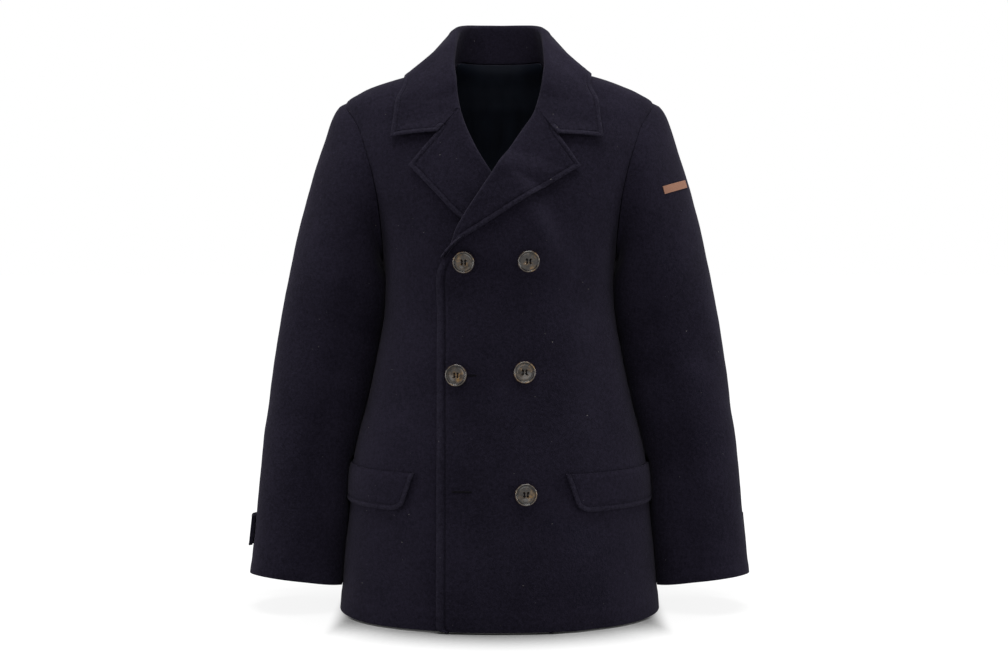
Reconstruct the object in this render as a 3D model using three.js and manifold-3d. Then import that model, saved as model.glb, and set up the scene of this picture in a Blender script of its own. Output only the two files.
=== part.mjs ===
// A double-breasted wool pea coat, filled out as when worn, with its sleeves hanging at its sides.
// Millimetres, +Z up. The origin is the middle of the base of the neck, and the front faces -Y.
// The wearer's left front, on the +X side, laps over the right one.
import * as THREE from 'three';
import { mergeVertices } from 'three/addons/utils/BufferGeometryUtils.js';
import Module from 'manifold-3d';

const wasm = await Module();
wasm.setup();

// Cloth: heavy melton with its interlining, and the gap that separate pieces keep.
const wall = 3;
const seam = 0.3;
const lay = 0.9;
const rollGap = 0.8;
const neckGap = 2.4;
const lapelStand = 1.3;
const leafStand = 2.6;
const liningGap = 2.3;
const liningWall = 1.5;
const strapWall = 5;

// The coat's main heights and its side seam.
const hemZ = -719;
const neckZ = 12;
const backNeckRise = 10;
const seamY = 9;
const armhole = { top: -37, bottom: -250, halfDepth: 81 };
const closingX = -79;
const underEdgeX = 79;

// How finely each piece is divided.
const armholeSteps = 10;
const skirtSteps = 11;
const shoulderSteps = 5;
const frontColumns = 15;
const backColumns = 20;
const sleeveColumns = 2 * armholeSteps;
const sleeveSteps = 27;

// The filled body: half-width at the side, depth in front and behind, and how square the section is.
const bodyRings = [
  { z: -719, side: 215, front: 145, back: 145, square: 2.3 },
  { z: -640, side: 209, front: 141, back: 138, square: 2.3 },
  { z: -585, side: 203, front: 138, back: 132, square: 2.3 },
  { z: -528, side: 199, front: 135, back: 126, square: 2.3 },
  { z: -483, side: 190, front: 131, back: 120, square: 2.3 },
  { z: -442, side: 179, front: 127, back: 114, square: 2.3 },
  { z: -374, side: 165, front: 121, back: 104, square: 2.35 },
  { z: -306, side: 155, front: 118, back: 99, square: 2.4 },
  { z: -239, side: 158, front: 121, back: 105, square: 2.5 },
  { z: -190, side: 172, front: 120, back: 112, square: 2.6 },
  { z: -140, side: 188, front: 112, back: 114, square: 2.8 },
  { z: -100, side: 200, front: 100, back: 108, square: 2.9 },
  { z: -70, side: 207, front: 87, back: 99, square: 2.75 },
  { z: -50, side: 210, front: 79, back: 92, square: 2.6 },
  { z: -37, side: 206, front: 72, back: 86, square: 2.5 },
  { z: -28, side: 192, front: 69, back: 83, square: 2.45 },
  { z: -20, side: 176, front: 66, back: 80, square: 2.45 },
  { z: -7, side: 138, front: 61, back: 75, square: 2.5 },
  { z: 3, side: 98, front: 56, back: 70, square: 2.5 },
  { z: 12, side: 72, front: 50, back: 66, square: 2.5 },
  { z: 24, side: 67, front: 46, back: 64, square: 2.5 },
];

// The line along which each front turns back, seen from the front. Below it is the front's edge.
const topRoll = [
  { z: -719, x: closingX },
  { z: -320, x: closingX },
  { z: -268, x: closingX },
  { z: -253, x: -73.7 },
  { z: -235, x: -63.6 },
  { z: -202, x: -49.8 },
  { z: -139, x: -8.8 },
  { z: -94, x: 21.6 },
  { z: -56, x: 45.8 },
  { z: 1, x: 58.6 },
  { z: 12, x: 62 },
];
const underRoll = [
  { z: -719, x: underEdgeX },
  { z: -320, x: underEdgeX },
  { z: -268, x: 74 },
  { z: -235, x: 50 },
  { z: -190, x: 25 },
  { z: -139, x: -8.8 },
  { z: -97, x: -34 },
  { z: -56, x: -50 },
  { z: -5, x: -59 },
  { z: 12, x: -62 },
];

// A lapel, from the gorge seam to the break: the step round the armhole that a section is level with
// on the roll line, and its outer edge, past the notch and the point.
const topLapel = [
  { level: 54, edgeX: 72, edgeZ: -84, fold: 5 },
  { level: 36, edgeX: 89, edgeZ: -108, fold: 5 },
  { level: 18, edgeX: 104, edgeZ: -130, fold: 5 },
  { level: 0, edgeX: 62, edgeZ: -156, fold: 4.6 },
  { level: -18, edgeX: 20, edgeZ: -182, fold: 4.3 },
  { level: -36, edgeX: -20, edgeZ: -207, fold: 4 },
  { level: -54, edgeX: -50, edgeZ: -226, fold: 3.6 },
];
const underLapel = [
  { level: 54, edgeX: -77, edgeZ: -82, fold: 5 },
  { level: 36, edgeX: -97, edgeZ: -106, fold: 5 },
  { level: 18, edgeX: -116, edgeZ: -129, fold: 4.8 },
  { level: 0, edgeX: -86, edgeZ: -160, fold: 3.9 },
  { level: -18, edgeX: -52, edgeZ: -195, fold: 3.7 },
  { level: -36, edgeX: -10, edgeZ: -224, fold: 3.7 },
  { level: -54, edgeX: 30, edgeZ: -238, fold: 3.7 },
];

// Half of the collar, from the middle of the back to the gorge. The neck seam is given by its angle
// and height, or by a height on the roll line, and the outer edge by its angle and height on the
// shoulders, or its place in front.
const collarRows = [
  { neckAngle: 180, foldX: 0, foldY: 67, foldZ: 78, edgeAngle: 180, edgeZ: -16, fold: 6 },
  { neckAngle: 152, foldX: 28, foldY: 62, foldZ: 77.5, edgeAngle: 154, edgeZ: -16, fold: 6 },
  { neckAngle: 127, foldX: 47, foldY: 46, foldZ: 75, edgeAngle: 131, edgeZ: -14, fold: 6 },
  { neckAngle: 106, foldX: 57, foldY: 25, foldZ: 69, edgeAngle: 110, edgeZ: -7.6, fold: 6 },
  { neckAngle: 90, foldX: 60, foldY: 2, foldZ: 58, edgeAngle: 92, edgeZ: -3.8, fold: 6 },
  { neckAngle: 76, foldX: 61, foldY: -24, foldZ: 40, edgeX: 128.5, edgeZ: -17.6, fold: 6 },
  { rollZ: 2.2, foldX: 60, foldY: -48, foldZ: 14, edgeX: 134, edgeZ: -40, fold: 6 },
  { rollZ: -17.4, foldX: 57, foldY: -66, foldZ: -11, edgeX: 136.5, edgeZ: -60, fold: 5.5 },
  { rollZ: -37, edgeX: 138.5, edgeZ: -77, fold: 5 },
  { rollZ: -56.2, edgeX: 139, edgeZ: -88, fold: 5 },
];
const notch = { under: { x: -77.5, z: -80.6 }, top: { x: 72.5, z: -82.6 } };
const topCollarReach = 0.953;

// Sleeve sections, from the armhole to the cuff: their outer point, their inner point by its height
// and its gap to the body's side, their reach in front and behind, how much of the armhole's curve
// they keep, and how far they tilt up in front.
const sleeveRings = [
  { at: 0, outX: 206.4, outZ: -37, gap: 0.4, inZ: -250, front: -72, back: 90, bow: 1, tilt: 0 },
  { at: 0.03, outX: 217, outZ: -43, gap: 3.4, inZ: -253, front: -75, back: 93, bow: 0.85, tilt: 0 },
  { at: 0.08, outX: 227, outZ: -59, gap: 3.6, inZ: -259, front: -77, back: 95, bow: 0.65, tilt: 0 },
  { at: 0.15, outX: 237.5, outZ: -90, gap: 3, inZ: -268, front: -77, back: 95, bow: 0.45, tilt: 0 },
  { at: 0.24, outX: 251, outZ: -129, gap: 2.4, inZ: -283, front: -73, back: 93, bow: 0.25, tilt: 0 },
  { at: 0.35, outX: 267, outZ: -183, gap: 2, inZ: -308, front: -67, back: 89, bow: 0.1, tilt: 0 },
  { at: 0.46, outX: 282.5, outZ: -248, gap: 1.8, inZ: -345, front: -61, back: 85, bow: 0, tilt: 0 },
  { at: 0.56, outX: 295.5, outZ: -312, gap: 1.8, inZ: -390, front: -57, back: 80, bow: 0, tilt: 0 },
  { at: 0.66, outX: 307, outZ: -385, gap: 1.8, inZ: -442, front: -55, back: 75, bow: 0, tilt: 0 },
  { at: 0.76, outX: 316.5, outZ: -455, gap: 4.4, inZ: -505, front: -55, back: 69, bow: 0, tilt: 0 },
  { at: 0.86, outX: 324.5, outZ: -528, gap: 5.2, inZ: -560, front: -57, back: 63, bow: 0, tilt: 1 },
  { at: 0.93, outX: 330.5, outZ: -600, gap: 2.2, inZ: -622, front: -59, back: 58, bow: 0, tilt: 4 },
  { at: 1, outX: 338, outZ: -675, gap: 1.8, inZ: -690, front: -61, back: 53, bow: 0, tilt: 8 },
];

// Soft folds of the cloth, each a line between two places with its width and how far it stands out
// (or sinks in). The back's run down from the shoulder blades, by angle and height. The sleeves' lie
// across the elbow, by the place along the sleeve and the angle round it.
const backFolds = [
  { angle: 152, topZ: -170, bottomZ: -660, drift: -8, width: 28, out: -4 },
  { angle: 204, topZ: -150, bottomZ: -620, drift: 7, width: 26, out: -3.5 },
  { angle: 174, topZ: -300, bottomZ: -790, drift: -6, width: 32, out: 3.5 },
  { angle: 228, topZ: -420, bottomZ: -790, drift: 6, width: 28, out: -4 },
];
const sleeveFolds = [
  { fromAt: 0.48, fromAngle: 205, toAt: 0.54, toAngle: 285, width: 22, out: -4 },
  { fromAt: 0.6, fromAngle: 205, toAt: 0.63, toAngle: 300, width: 20, out: -3 },
  { fromAt: 0.54, fromAngle: 60, toAt: 0.6, toAngle: 150, width: 24, out: -3 },
];

// Pocket flaps: the inner end's x at the top and bottom edge, and the angle of the end at the side.
const flapTopZ = -523;
const flapBottomZ = -572;
const flaps = [
  { name: 'flap_left', side: 1, topX: 83, bottomX: 100, endAngle: 84 },
  { name: 'flap_right', side: -1, topX: 108, bottomX: 124, endAngle: 92 },
];

// Cuff straps: between two places along the sleeve, round from its outer side to the back.
const strapAlong = { upper: 0.927, lower: 0.966 };
const straps = [
  { name: 'strap_left', side: 1, from: 14, to: 130 },
  { name: 'strap_right', side: -1, from: -16, to: 130 },
];

// Buttons on the lapped front, seen from the front.
const buttonRadius = 14;
const buttons = [
  { x: -44.5, z: -253 },
  { x: 36, z: -251 },
  { x: -54, z: -398 },
  { x: 31.8, z: -394 },
  { x: 33.5, z: -547 },
];
const holeSpread = 2.6;
const holeRadius = 1.3;

const melton = { color: 0x20202b, roughness: 0.92, metalness: 0 };
const satin = { color: 0x0f1720, roughness: 0.4, metalness: 0 };
const horn = { color: 0x4a4038, roughness: 0.3, metalness: 0 };

const radians = THREE.MathUtils.degToRad;
const { lerp, clamp, smoothstep } = THREE.MathUtils;

// A table's column at a place along its key column, on a smooth curve through the rows.
function curve(table, key, column, place) {
  const last = table.length - 1;
  let i = 0;
  while (i < last - 1 && place > table[i + 1][key]) i++;
  const slope = (j) => {
    const before = table[Math.max(j - 1, 0)];
    const after = table[Math.min(j + 1, last)];
    return (after[column] - before[column]) / (after[key] - before[key]);
  };
  const step = table[i + 1][key] - table[i][key];
  const t = clamp((place - table[i][key]) / step, 0, 1);
  const rest = 1 - t;
  return rest * rest * (1 + 2 * t) * table[i][column]
    + t * t * (3 - 2 * t) * table[i + 1][column]
    + t * rest * step * (rest * slope(i) - t * slope(i + 1));
}

// A point of the body's surface. The angle runs from the front, positive to the wearer's left.
function onRing(angle, z) {
  const depth = curve(bodyRings, 'z', Math.cos(angle) > 0 ? 'front' : 'back', z);
  const side = curve(bodyRings, 'z', 'side', z);
  const square = curve(bodyRings, 'z', 'square', z);
  const across = Math.abs(Math.sin(angle)) / side;
  const deep = Math.abs(Math.cos(angle)) / depth;
  const radius = (across ** square + deep ** square) ** (-1 / square);
  return new THREE.Vector3(radius * Math.sin(angle), -radius * Math.cos(angle), z);
}

// The body's outward direction at a point of its surface.
function outward(angle, z) {
  const small = 0.004;
  const round = onRing(angle + small, z).sub(onRing(angle - small, z));
  const up = onRing(angle, z + 1).sub(onRing(angle, z - 1));
  return round.cross(up).normalize();
}

function onBody(angle, z, out = 0) {
  return onRing(angle, z).addScaledVector(outward(angle, z), out);
}

// The angle at which the front of the body has a given x, or its side a given y.
function angleAtX(x, z) {
  const side = curve(bodyRings, 'z', 'side', z);
  const front = curve(bodyRings, 'z', 'front', z);
  const square = curve(bodyRings, 'z', 'square', z);
  const share = clamp(1 - (Math.abs(x) / side) ** square, 0.0001, 1);
  return Math.atan2(x, front * share ** (1 / square));
}

function angleAtY(y, z) {
  const side = curve(bodyRings, 'z', 'side', z);
  const depth = curve(bodyRings, 'z', y < 0 ? 'front' : 'back', z);
  const square = curve(bodyRings, 'z', 'square', z);
  return Math.atan2(side * (1 - (Math.abs(y) / depth) ** square) ** (1 / square), -y);
}

// How far a front's cut edge stays back from the fold that the lapel makes round it.
function foldRoom(z) {
  return 8 * smoothstep(z, -262, -232);
}

function rollX(roll, z) {
  return curve(roll, 'z', 'x', z);
}

function cutX(roll, side, z) {
  const lean = (rollX(roll, z + 2) - rollX(roll, z - 2)) / 4;
  return rollX(roll, z) + side * foldRoom(z) * Math.hypot(1, lean);
}

// Heights shared by the fronts and the back, so that they meet row by row at the side seams.
const armholeMiddle = (armhole.top + armhole.bottom) / 2;
const armholeHalf = (armhole.top - armhole.bottom) / 2;
const levelZ = (level) => armholeMiddle + armholeHalf * Math.sin(radians(level));

// The distance from a place on the front to the outline of the lapel beneath, 0 inside it.
const underOutline = [
  ...underLapel.map((row) => new THREE.Vector2(rollX(underRoll, levelZ(row.level)), levelZ(row.level))),
  ...underLapel.map((row) => new THREE.Vector2(row.edgeX, row.edgeZ)).reverse(),
];

function outsideUnderLapel(x, z) {
  let inside = false;
  let nearest = Infinity;
  underOutline.forEach((a, i) => {
    const b = underOutline[(i + 1) % underOutline.length];
    const share = clamp(((x - a.x) * (b.x - a.x) + (z - a.y) * (b.y - a.y)) / a.distanceToSquared(b), 0, 1);
    nearest = Math.min(nearest, Math.hypot(x - lerp(a.x, b.x, share), z - lerp(a.y, b.y, share)));
    if (a.y > z !== b.y > z && x < a.x + ((z - a.y) * (b.x - a.x)) / (b.y - a.y)) inside = !inside;
  });
  return inside ? 0 : nearest;
}

// How far the lapped front stands off the body, over the front and the lapel beneath it.
function lapHeight(x, z) {
  const overFront = 1 - smoothstep(x - rollX(underRoll, z), 8, 55);
  const overLapel = 1 - smoothstep(outsideUnderLapel(x, z), 10, 38);
  return (wall + lay) * overFront + 7 * overLapel;
}

// One closed wall from a grid of points on its outer face. With sign 1 the columns run to the right
// and the rows upwards, seen from outside, and a round grid closes on itself. The inner face is its
// own grid where that is known, and otherwise lies square to the outer one.
function wallOf(grid, thickness, sign, { round = false, inside } = {}) {
  const rows = grid.length;
  const columns = grid[0].length;
  const at = (i, j) => grid[clamp(i, 0, rows - 1)][round ? (j + columns) % columns : clamp(j, 0, columns - 1)];
  const outer = [];
  const inner = [];
  for (let i = 0; i < rows; i++) {
    for (let j = 0; j < columns; j++) {
      const across = at(i, j + 1).clone().sub(at(i, j - 1));
      const up = at(i + 1, j).clone().sub(at(i - 1, j));
      const normal = across.cross(up).normalize().multiplyScalar(sign * thickness);
      outer.push(...at(i, j));
      inner.push(...(inside ? inside[i][j] : at(i, j).clone().sub(normal)));
    }
  }
  const index = [];
  const face = (...corners) => index.push(...(sign > 0 ? corners : corners.reverse()));
  const under = rows * columns;
  const point = (i, j) => i * columns + (j % columns);
  const cells = round ? columns : columns - 1;
  for (let j = 0; j < cells; j++) {
    for (let i = 0; i < rows - 1; i++) {
      const [a, b, c, d] = [point(i, j), point(i, j + 1), point(i + 1, j + 1), point(i + 1, j)];
      face(a, b, c);
      face(a, c, d);
      face(a + under, c + under, b + under);
      face(a + under, d + under, c + under);
    }
    const [a, b, c, d] = [point(0, j), point(0, j + 1), point(rows - 1, j + 1), point(rows - 1, j)];
    face(a, a + under, b + under);
    face(a, b + under, b);
    face(d, c + under, d + under);
    face(d, c, c + under);
  }
  for (let i = 0; i < rows - 1 && !round; i++) {
    const [a, d] = [point(i, 0), point(i + 1, 0)];
    const [b, c] = [point(i, columns - 1), point(i + 1, columns - 1)];
    face(a, d, d + under);
    face(a, d + under, a + under);
    face(b, c + under, c);
    face(b, b + under, c + under);
  }
  const geometry = new THREE.BufferGeometry();
  geometry.setAttribute('position', new THREE.Float32BufferAttribute([...outer, ...inner], 3));
  geometry.setIndex(index);
  geometry.computeVertexNormals();
  return geometry;
}

const coat = new THREE.Group();

function add(group, name, geometry, finish) {
  const mesh = new THREE.Mesh(geometry, new THREE.MeshStandardMaterial(finish));
  mesh.name = name;
  group.add(mesh);
  return mesh;
}

const spread = (count, make) => Array.from({ length: count }, (_, i) => make(i / (count - 1)));

const lowerHeights = [
  ...spread(skirtSteps + 1, (t) => lerp(hemZ, armhole.bottom, t)),
  ...spread(armholeSteps + 1, (t) => levelZ(180 * t - 90)).slice(1),
];

// How far forward or back of the side seam a panel stops at the armhole.
function armholeDepth(z) {
  if (z <= armhole.bottom || z >= armhole.top) return 0;
  return armhole.halfDepth * Math.sqrt(Math.max(0, 1 - ((z - armholeMiddle) / armholeHalf) ** 2));
}

function front(roll, side, height, depth = 0) {
  const heights = [...lowerHeights, ...spread(shoulderSteps + 1, (t) => lerp(armhole.top, neckZ, t)).slice(1)];
  return heights.map((z) => {
    const start = angleAtX(cutX(roll, side, z), z);
    const end = side * angleAtY(seamY - seam / 2 - armholeDepth(z), z);
    return spread(frontColumns, (t) => {
      const angle = lerp(start, end, t ** 1.15);
      return onBody(angle, z, height(onRing(angle, z).x, z) - depth);
    });
  });
}

// The neckline rises from the shoulder seams to the middle of the back.
function neckHeight(angle) {
  return neckZ + backNeckRise * smoothstep(Math.abs(angle), radians(96), radians(180));
}

// How far the back's folds stand out at an angle from 0 to 360 degrees.
function backFold(angle, z) {
  return backFolds.reduce((sum, fold) => {
    const along = clamp((fold.topZ - z) / (fold.topZ - fold.bottomZ), 0, 1);
    const turn = angle - radians(fold.angle + fold.drift * along);
    const across = (turn * curve(bodyRings, 'z', 'back', z)) / fold.width;
    const ends = smoothstep(fold.topZ - z, 0, 80) * smoothstep(z - fold.bottomZ, 0, 70);
    return sum + fold.out * Math.exp(-(across ** 2)) * ends;
  }, 0);
}

function back(depth = 0) {
  const rows = lowerHeights.map((z) => ({ end: z, height: () => z }));
  spread(shoulderSteps + 1, (t) => t).slice(1).forEach((t) => {
    rows.push({ end: lerp(armhole.top, neckZ, t), height: (angle) => lerp(armhole.top, neckHeight(angle), t) });
  });
  return rows.map(({ end, height }) => {
    const edge = angleAtY(seamY + seam / 2 + armholeDepth(end), end);
    return spread(backColumns, (t) => {
      const angle = lerp(edge, 2 * Math.PI - edge, t);
      const turn = angle > Math.PI ? angle - 2 * Math.PI : angle;
      return onBody(turn, height(turn), backFold(angle, end) - depth);
    });
  });
}

const flat = () => 0;
const panel = (make, sign) => wallOf(make(0), wall, sign, { inside: make(wall) });

add(coat, 'front_under', panel((depth) => front(underRoll, -1, flat, depth), -1), melton);
add(coat, 'front_top', panel((depth) => front(topRoll, 1, lapHeight, depth), 1), melton);
add(coat, 'back', panel(back, 1), melton);

// Sleeves. The section's angle runs from the outer side over the back to the inner side.
function onSleeve(side, at, angle, out = 0) {
  const value = (column) => curve(sleeveRings, 'at', column, at);
  const inX = curve(bodyRings, 'z', 'side', value('inZ')) + value('gap');
  const place = (turn) => {
    const share = (1 + Math.cos(turn)) / 2;
    const middle = (value('front') + value('back')) / 2;
    const y = middle + ((value('back') - value('front')) / 2) * Math.sin(turn);
    const z = lerp(value('inZ'), value('outZ'), share) - value('tilt') * Math.sin(turn);
    const holeY = seamY + armhole.halfDepth * Math.sin(turn);
    const holeZ = armholeMiddle + armholeHalf * Math.cos(turn);
    const holeSide = curve(bodyRings, 'z', 'side', armhole.bottom);
    const chord = lerp(holeSide, sleeveRings[0].outX, share);
    const bow = onRing(angleAtY(holeY, holeZ), holeZ).x - chord;
    return new THREE.Vector3(lerp(inX, value('outX'), share) + bow * value('bow'), y, z);
  };
  const point = place(angle);
  if (out) {
    const round = place(angle + 0.02).sub(place(angle - 0.02));
    const tangent = onSleeve(1, Math.min(at + 0.01, 1), angle).sub(onSleeve(1, at - 0.01, angle));
    point.addScaledVector(tangent.cross(round).normalize(), out);
  }
  point.x *= side;
  return point;
}

// How far the sleeve's folds stand out, measured over its flat cut: its length and its girth.
function sleeveFold(at, angle) {
  const flat = (place, degrees) => new THREE.Vector2(place * 560, radians(degrees) * 62);
  const point = flat(at, THREE.MathUtils.radToDeg(angle));
  return sleeveFolds.reduce((sum, fold) => {
    const from = flat(fold.fromAt, fold.fromAngle);
    const reach = flat(fold.toAt, fold.toAngle).sub(from);
    const share = clamp(point.clone().sub(from).dot(reach) / reach.lengthSq(), 0, 1);
    const gap = point.distanceTo(from.clone().addScaledVector(reach, share));
    return sum + fold.out * Math.exp(-((gap / fold.width) ** 2));
  }, 0);
}

const sleevePlaces = spread(sleeveSteps + 1, (t) => (t < 0.25 ? 0.6 * t : lerp(0.15, 1, (t - 0.25) / 0.75)));

for (const [name, side] of [['sleeve_left', 1], ['sleeve_right', -1]]) {
  const grid = sleevePlaces.map((at) => Array.from({ length: sleeveColumns }, (_, j) => {
    const angle = (2 * Math.PI * j) / sleeveColumns;
    return onSleeve(side, at, angle, sleeveFold(at, angle));
  }));
  const sleeve = new THREE.Group();
  coat.add(sleeve);
  add(sleeve, name, wallOf(grid, wall, -side, { round: true }), melton);
  const strap = straps.find((row) => row.side === side);
  const strapGrid = [0, 0.5, 1].map((v) => spread(10, (t) => {
    const end = Math.min(t, 1 - t);
    const half = end < 0.05 ? 0.72 : 1;
    const middle = (strapAlong.upper + strapAlong.lower) / 2;
    const at = middle + (v - 0.5) * half * (strapAlong.lower - strapAlong.upper);
    return onSleeve(side, at, radians(lerp(strap.from, strap.to, t)), strapWall + lay);
  }));
  add(sleeve, strap.name, wallOf(strapGrid, strapWall, -side), melton);
}

// Turned pieces. A section starts at a seam inside the neck, rises to the fold, goes round it and runs
// down to the outer edge. Clear moves a point of the outer face off the panels beneath it.
function clear(point, height, stand) {
  const around = [[0, 0], [12, 0], [-12, 0], [0, 12], [0, -12]];
  const least = Math.max(...around.map(([x, z]) => height(point.x + x, point.z + z))) + wall + stand;
  for (let pass = 0; pass < 6; pass++) {
    const angle = Math.atan2(point.x, -point.y);
    const surface = onRing(angle, point.z);
    const normal = outward(angle, point.z);
    const gap = point.clone().sub(surface).dot(normal);
    if (gap >= least - 0.01) return point;
    point.addScaledVector(normal, least - gap);
  }
  return point;
}

function turned(sections, leafSteps, height, stand) {
  return sections.map(({ neck, fold, via, edge, radius, lean }, i) => {
    const before = sections[Math.max(i - 1, 0)].fold;
    const after = sections[Math.min(i + 1, sections.length - 1)].fold;
    const tangent = after.clone().sub(before).normalize();
    let out = lean.clone();
    let rise = new THREE.Vector3();
    for (let pass = 0; pass < 4; pass++) {
      rise = fold.clone().sub(neck).addScaledVector(out, -radius);
      rise.addScaledVector(tangent, -rise.dot(tangent)).normalize();
      const next = tangent.clone().cross(rise).normalize();
      out = next.dot(out) < 0 ? next.negate() : next;
    }
    const centre = fold.clone().addScaledVector(rise, -radius);
    const onFold = (turn) => centre.clone()
      .addScaledVector(out, -radius * Math.cos(turn))
      .addScaledVector(rise, radius * Math.sin(turn));
    const reach = (via ?? edge).clone().sub(centre);
    const aim = Math.atan2(reach.dot(out), reach.dot(rise));
    const final = (aim < 0 ? aim + 2 * Math.PI : aim) + Math.asin(clamp(radius / reach.length(), 0, 0.9));
    const section = [neck.clone(), neck.clone().lerp(onFold(0), 0.5)];
    section.push(...spread(5, (t) => onFold(final * t)));
    const start = onFold(final);
    const middle = via ?? start.clone().lerp(edge, 0.4);
    for (let step = 1; step <= leafSteps; step++) {
      const half = leafSteps / 2;
      const point = step <= half
        ? start.clone().lerp(middle, step / half)
        : middle.clone().lerp(edge, (step - half) / half);
      section.push(clear(point, height, stand));
    }
    return section;
  });
}

// A lapel lies on its own front, and its seam continues the front's inner face round the fold.
function lapel(table, roll, side, height) {
  const sections = table.map((row) => {
    const z = levelZ(row.level);
    const angle = angleAtX(cutX(roll, side, z) - side * rollGap, z);
    const lift = height(onRing(angle, z).x, z);
    const rollAngle = angleAtX(rollX(roll, z), z);
    const edge = onRing(angleAtX(row.edgeX, row.edgeZ), row.edgeZ);
    return {
      neck: onBody(angle, z, lift - wall),
      fold: onBody(rollAngle, z, lift - wall + row.fold),
      edge: clear(edge, height, lapelStand),
      radius: row.fold,
      lean: outward(rollAngle, z),
    };
  });
  return turned(halved(sections), 4, height, lapelStand);
}

// The same sections with one more between each two.
function halved(sections) {
  const between = (a, b) => {
    const mixed = { radius: (a.radius + b.radius) / 2 };
    for (const key of ['neck', 'fold', 'edge', 'lean']) mixed[key] = a[key].clone().lerp(b[key], 0.5);
    return mixed;
  };
  return sections.flatMap((row, i) => (i ? [between(sections[i - 1], row), row] : [row]));
}

add(coat, 'lapel_under', wallOf(lapel(underLapel, underRoll, -1, flat), wall, 1), melton);
add(coat, 'lapel_top', wallOf(lapel(topLapel, topRoll, 1, lapHeight), wall, -1), melton);

// The collar, whose two ends meet the lapels at the gorge and spread from the notch to the corner.
function collarSection(row, side) {
  const { x: notchX, z: notchZ } = side > 0 ? notch.top : notch.under;
  const roll = side > 0 ? topRoll : underRoll;
  const onRoll = row.rollZ !== undefined;
  const neckAngle = onRoll
    ? angleAtX(cutX(roll, side, row.rollZ) - side * neckGap, row.rollZ)
    : side * radians(row.neckAngle);
  const lean = new THREE.Vector3(Math.sin(neckAngle), -Math.cos(neckAngle), 0);
  const neck = onRoll
    ? onBody(neckAngle, row.rollZ, -wall)
    : onRing(neckAngle, neckHeight(neckAngle)).addScaledVector(lean, -wall);
  if (!onRoll) neck.z += 2 * seam;
  const rollAngle = onRoll ? angleAtX(rollX(roll, row.rollZ), row.rollZ) : neckAngle;
  const fold = row.foldX === undefined
    ? onBody(rollAngle, row.rollZ, row.fold - wall)
    : new THREE.Vector3(side * row.foldX, row.foldY, row.foldZ);
  const reach = side > 0 && row.edgeX ? topCollarReach : 1;
  const edgeAngle = row.edgeX ? angleAtX(side * row.edgeX * reach, row.edgeZ) : side * radians(row.edgeAngle);
  const edge = clear(onRing(edgeAngle, row.edgeZ), flat, leafStand);
  const last = row === collarRows[collarRows.length - 1];
  const via = last ? clear(onRing(angleAtX(notchX, notchZ), notchZ), flat, leafStand) : undefined;
  return { neck, fold, via, edge, radius: row.fold, lean };
}

function collar() {
  const half = (side) => collarRows.map((row) => collarSection(row, side));
  const rows = [...half(-1).reverse(), ...half(1).slice(1)];
  return turned(halved(rows), 4, flat, leafStand);
}

add(coat, 'collar', wallOf(collar(), wall, -1), melton);

// The lining shows through the neck, on the inside of the back.
const liningHalfAngle = 55;
const liningBottomZ = -300;
const liningGrid = spread(12, (v) => spread(13, (u) => {
  const turn = radians(180 - lerp(liningHalfAngle, -liningHalfAngle, u));
  const angle = turn > Math.PI ? turn - 2 * Math.PI : turn;
  const z = lerp(neckHeight(angle) - 1, liningBottomZ, (1 - v) ** 1.5);
  return onBody(angle, z, backFold(turn, z) - wall - liningGap);
}));
add(coat, 'lining_back', wallOf(liningGrid, liningWall, 1), satin);

for (const { name, side, topX, bottomX, endAngle } of flaps) {
  const height = side > 0 ? lapHeight : flat;
  const grid = spread(5, (v) => spread(11, (u) => {
    const rounding = v === 0 && (u === 0 || u === 1) ? 1 : 0;
    const z = lerp(flapBottomZ, flapTopZ, v) + 4 * rounding;
    const inner = angleAtX(side * lerp(bottomX, topX, v), z);
    const angle = lerp(inner, side * radians(endAngle), lerp(u, 0.5, 0.08 * rounding));
    return onBody(angle, z, height(onRing(angle, z).x, z) + wall + lay);
  }));
  add(coat, name, wallOf(grid, wall, side), melton);
}

// One button: a dished disc with a raised rim and four holes, on its back at the origin, facing +Y.
function solid(geometry) {
  geometry.deleteAttribute('normal');
  geometry.deleteAttribute('uv');
  const merged = mergeVertices(geometry, 0.001);
  return new wasm.Manifold(new wasm.Mesh({
    numProp: 3,
    vertProperties: merged.attributes.position.array,
    triVerts: new Uint32Array(merged.index.array),
  }));
}

function buttonGeometry() {
  const profile = [
    [0, 0], [buttonRadius - 1, 0], [buttonRadius, 1.2], [buttonRadius, 3.4], [buttonRadius - 1.2, 4.6],
    [buttonRadius - 3.2, 4.2], [buttonRadius - 4.6, 2.9], [0, 2.5],
  ].map(([x, y]) => new THREE.Vector2(x, y));
  let disc = solid(new THREE.LatheGeometry(profile, 20));
  for (const [sx, sz] of [[1, 1], [1, -1], [-1, 1], [-1, -1]]) {
    const hole = new THREE.CylinderGeometry(holeRadius, holeRadius, 12, 6);
    hole.translate(sx * holeSpread, 0, sz * holeSpread);
    disc = disc.subtract(solid(hole));
  }
  const mesh = disc.getMesh();
  const geometry = new THREE.BufferGeometry();
  geometry.setAttribute('position', new THREE.Float32BufferAttribute(mesh.vertProperties, 3));
  geometry.setIndex([...mesh.triVerts]);
  geometry.computeVertexNormals();
  return geometry;
}

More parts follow.
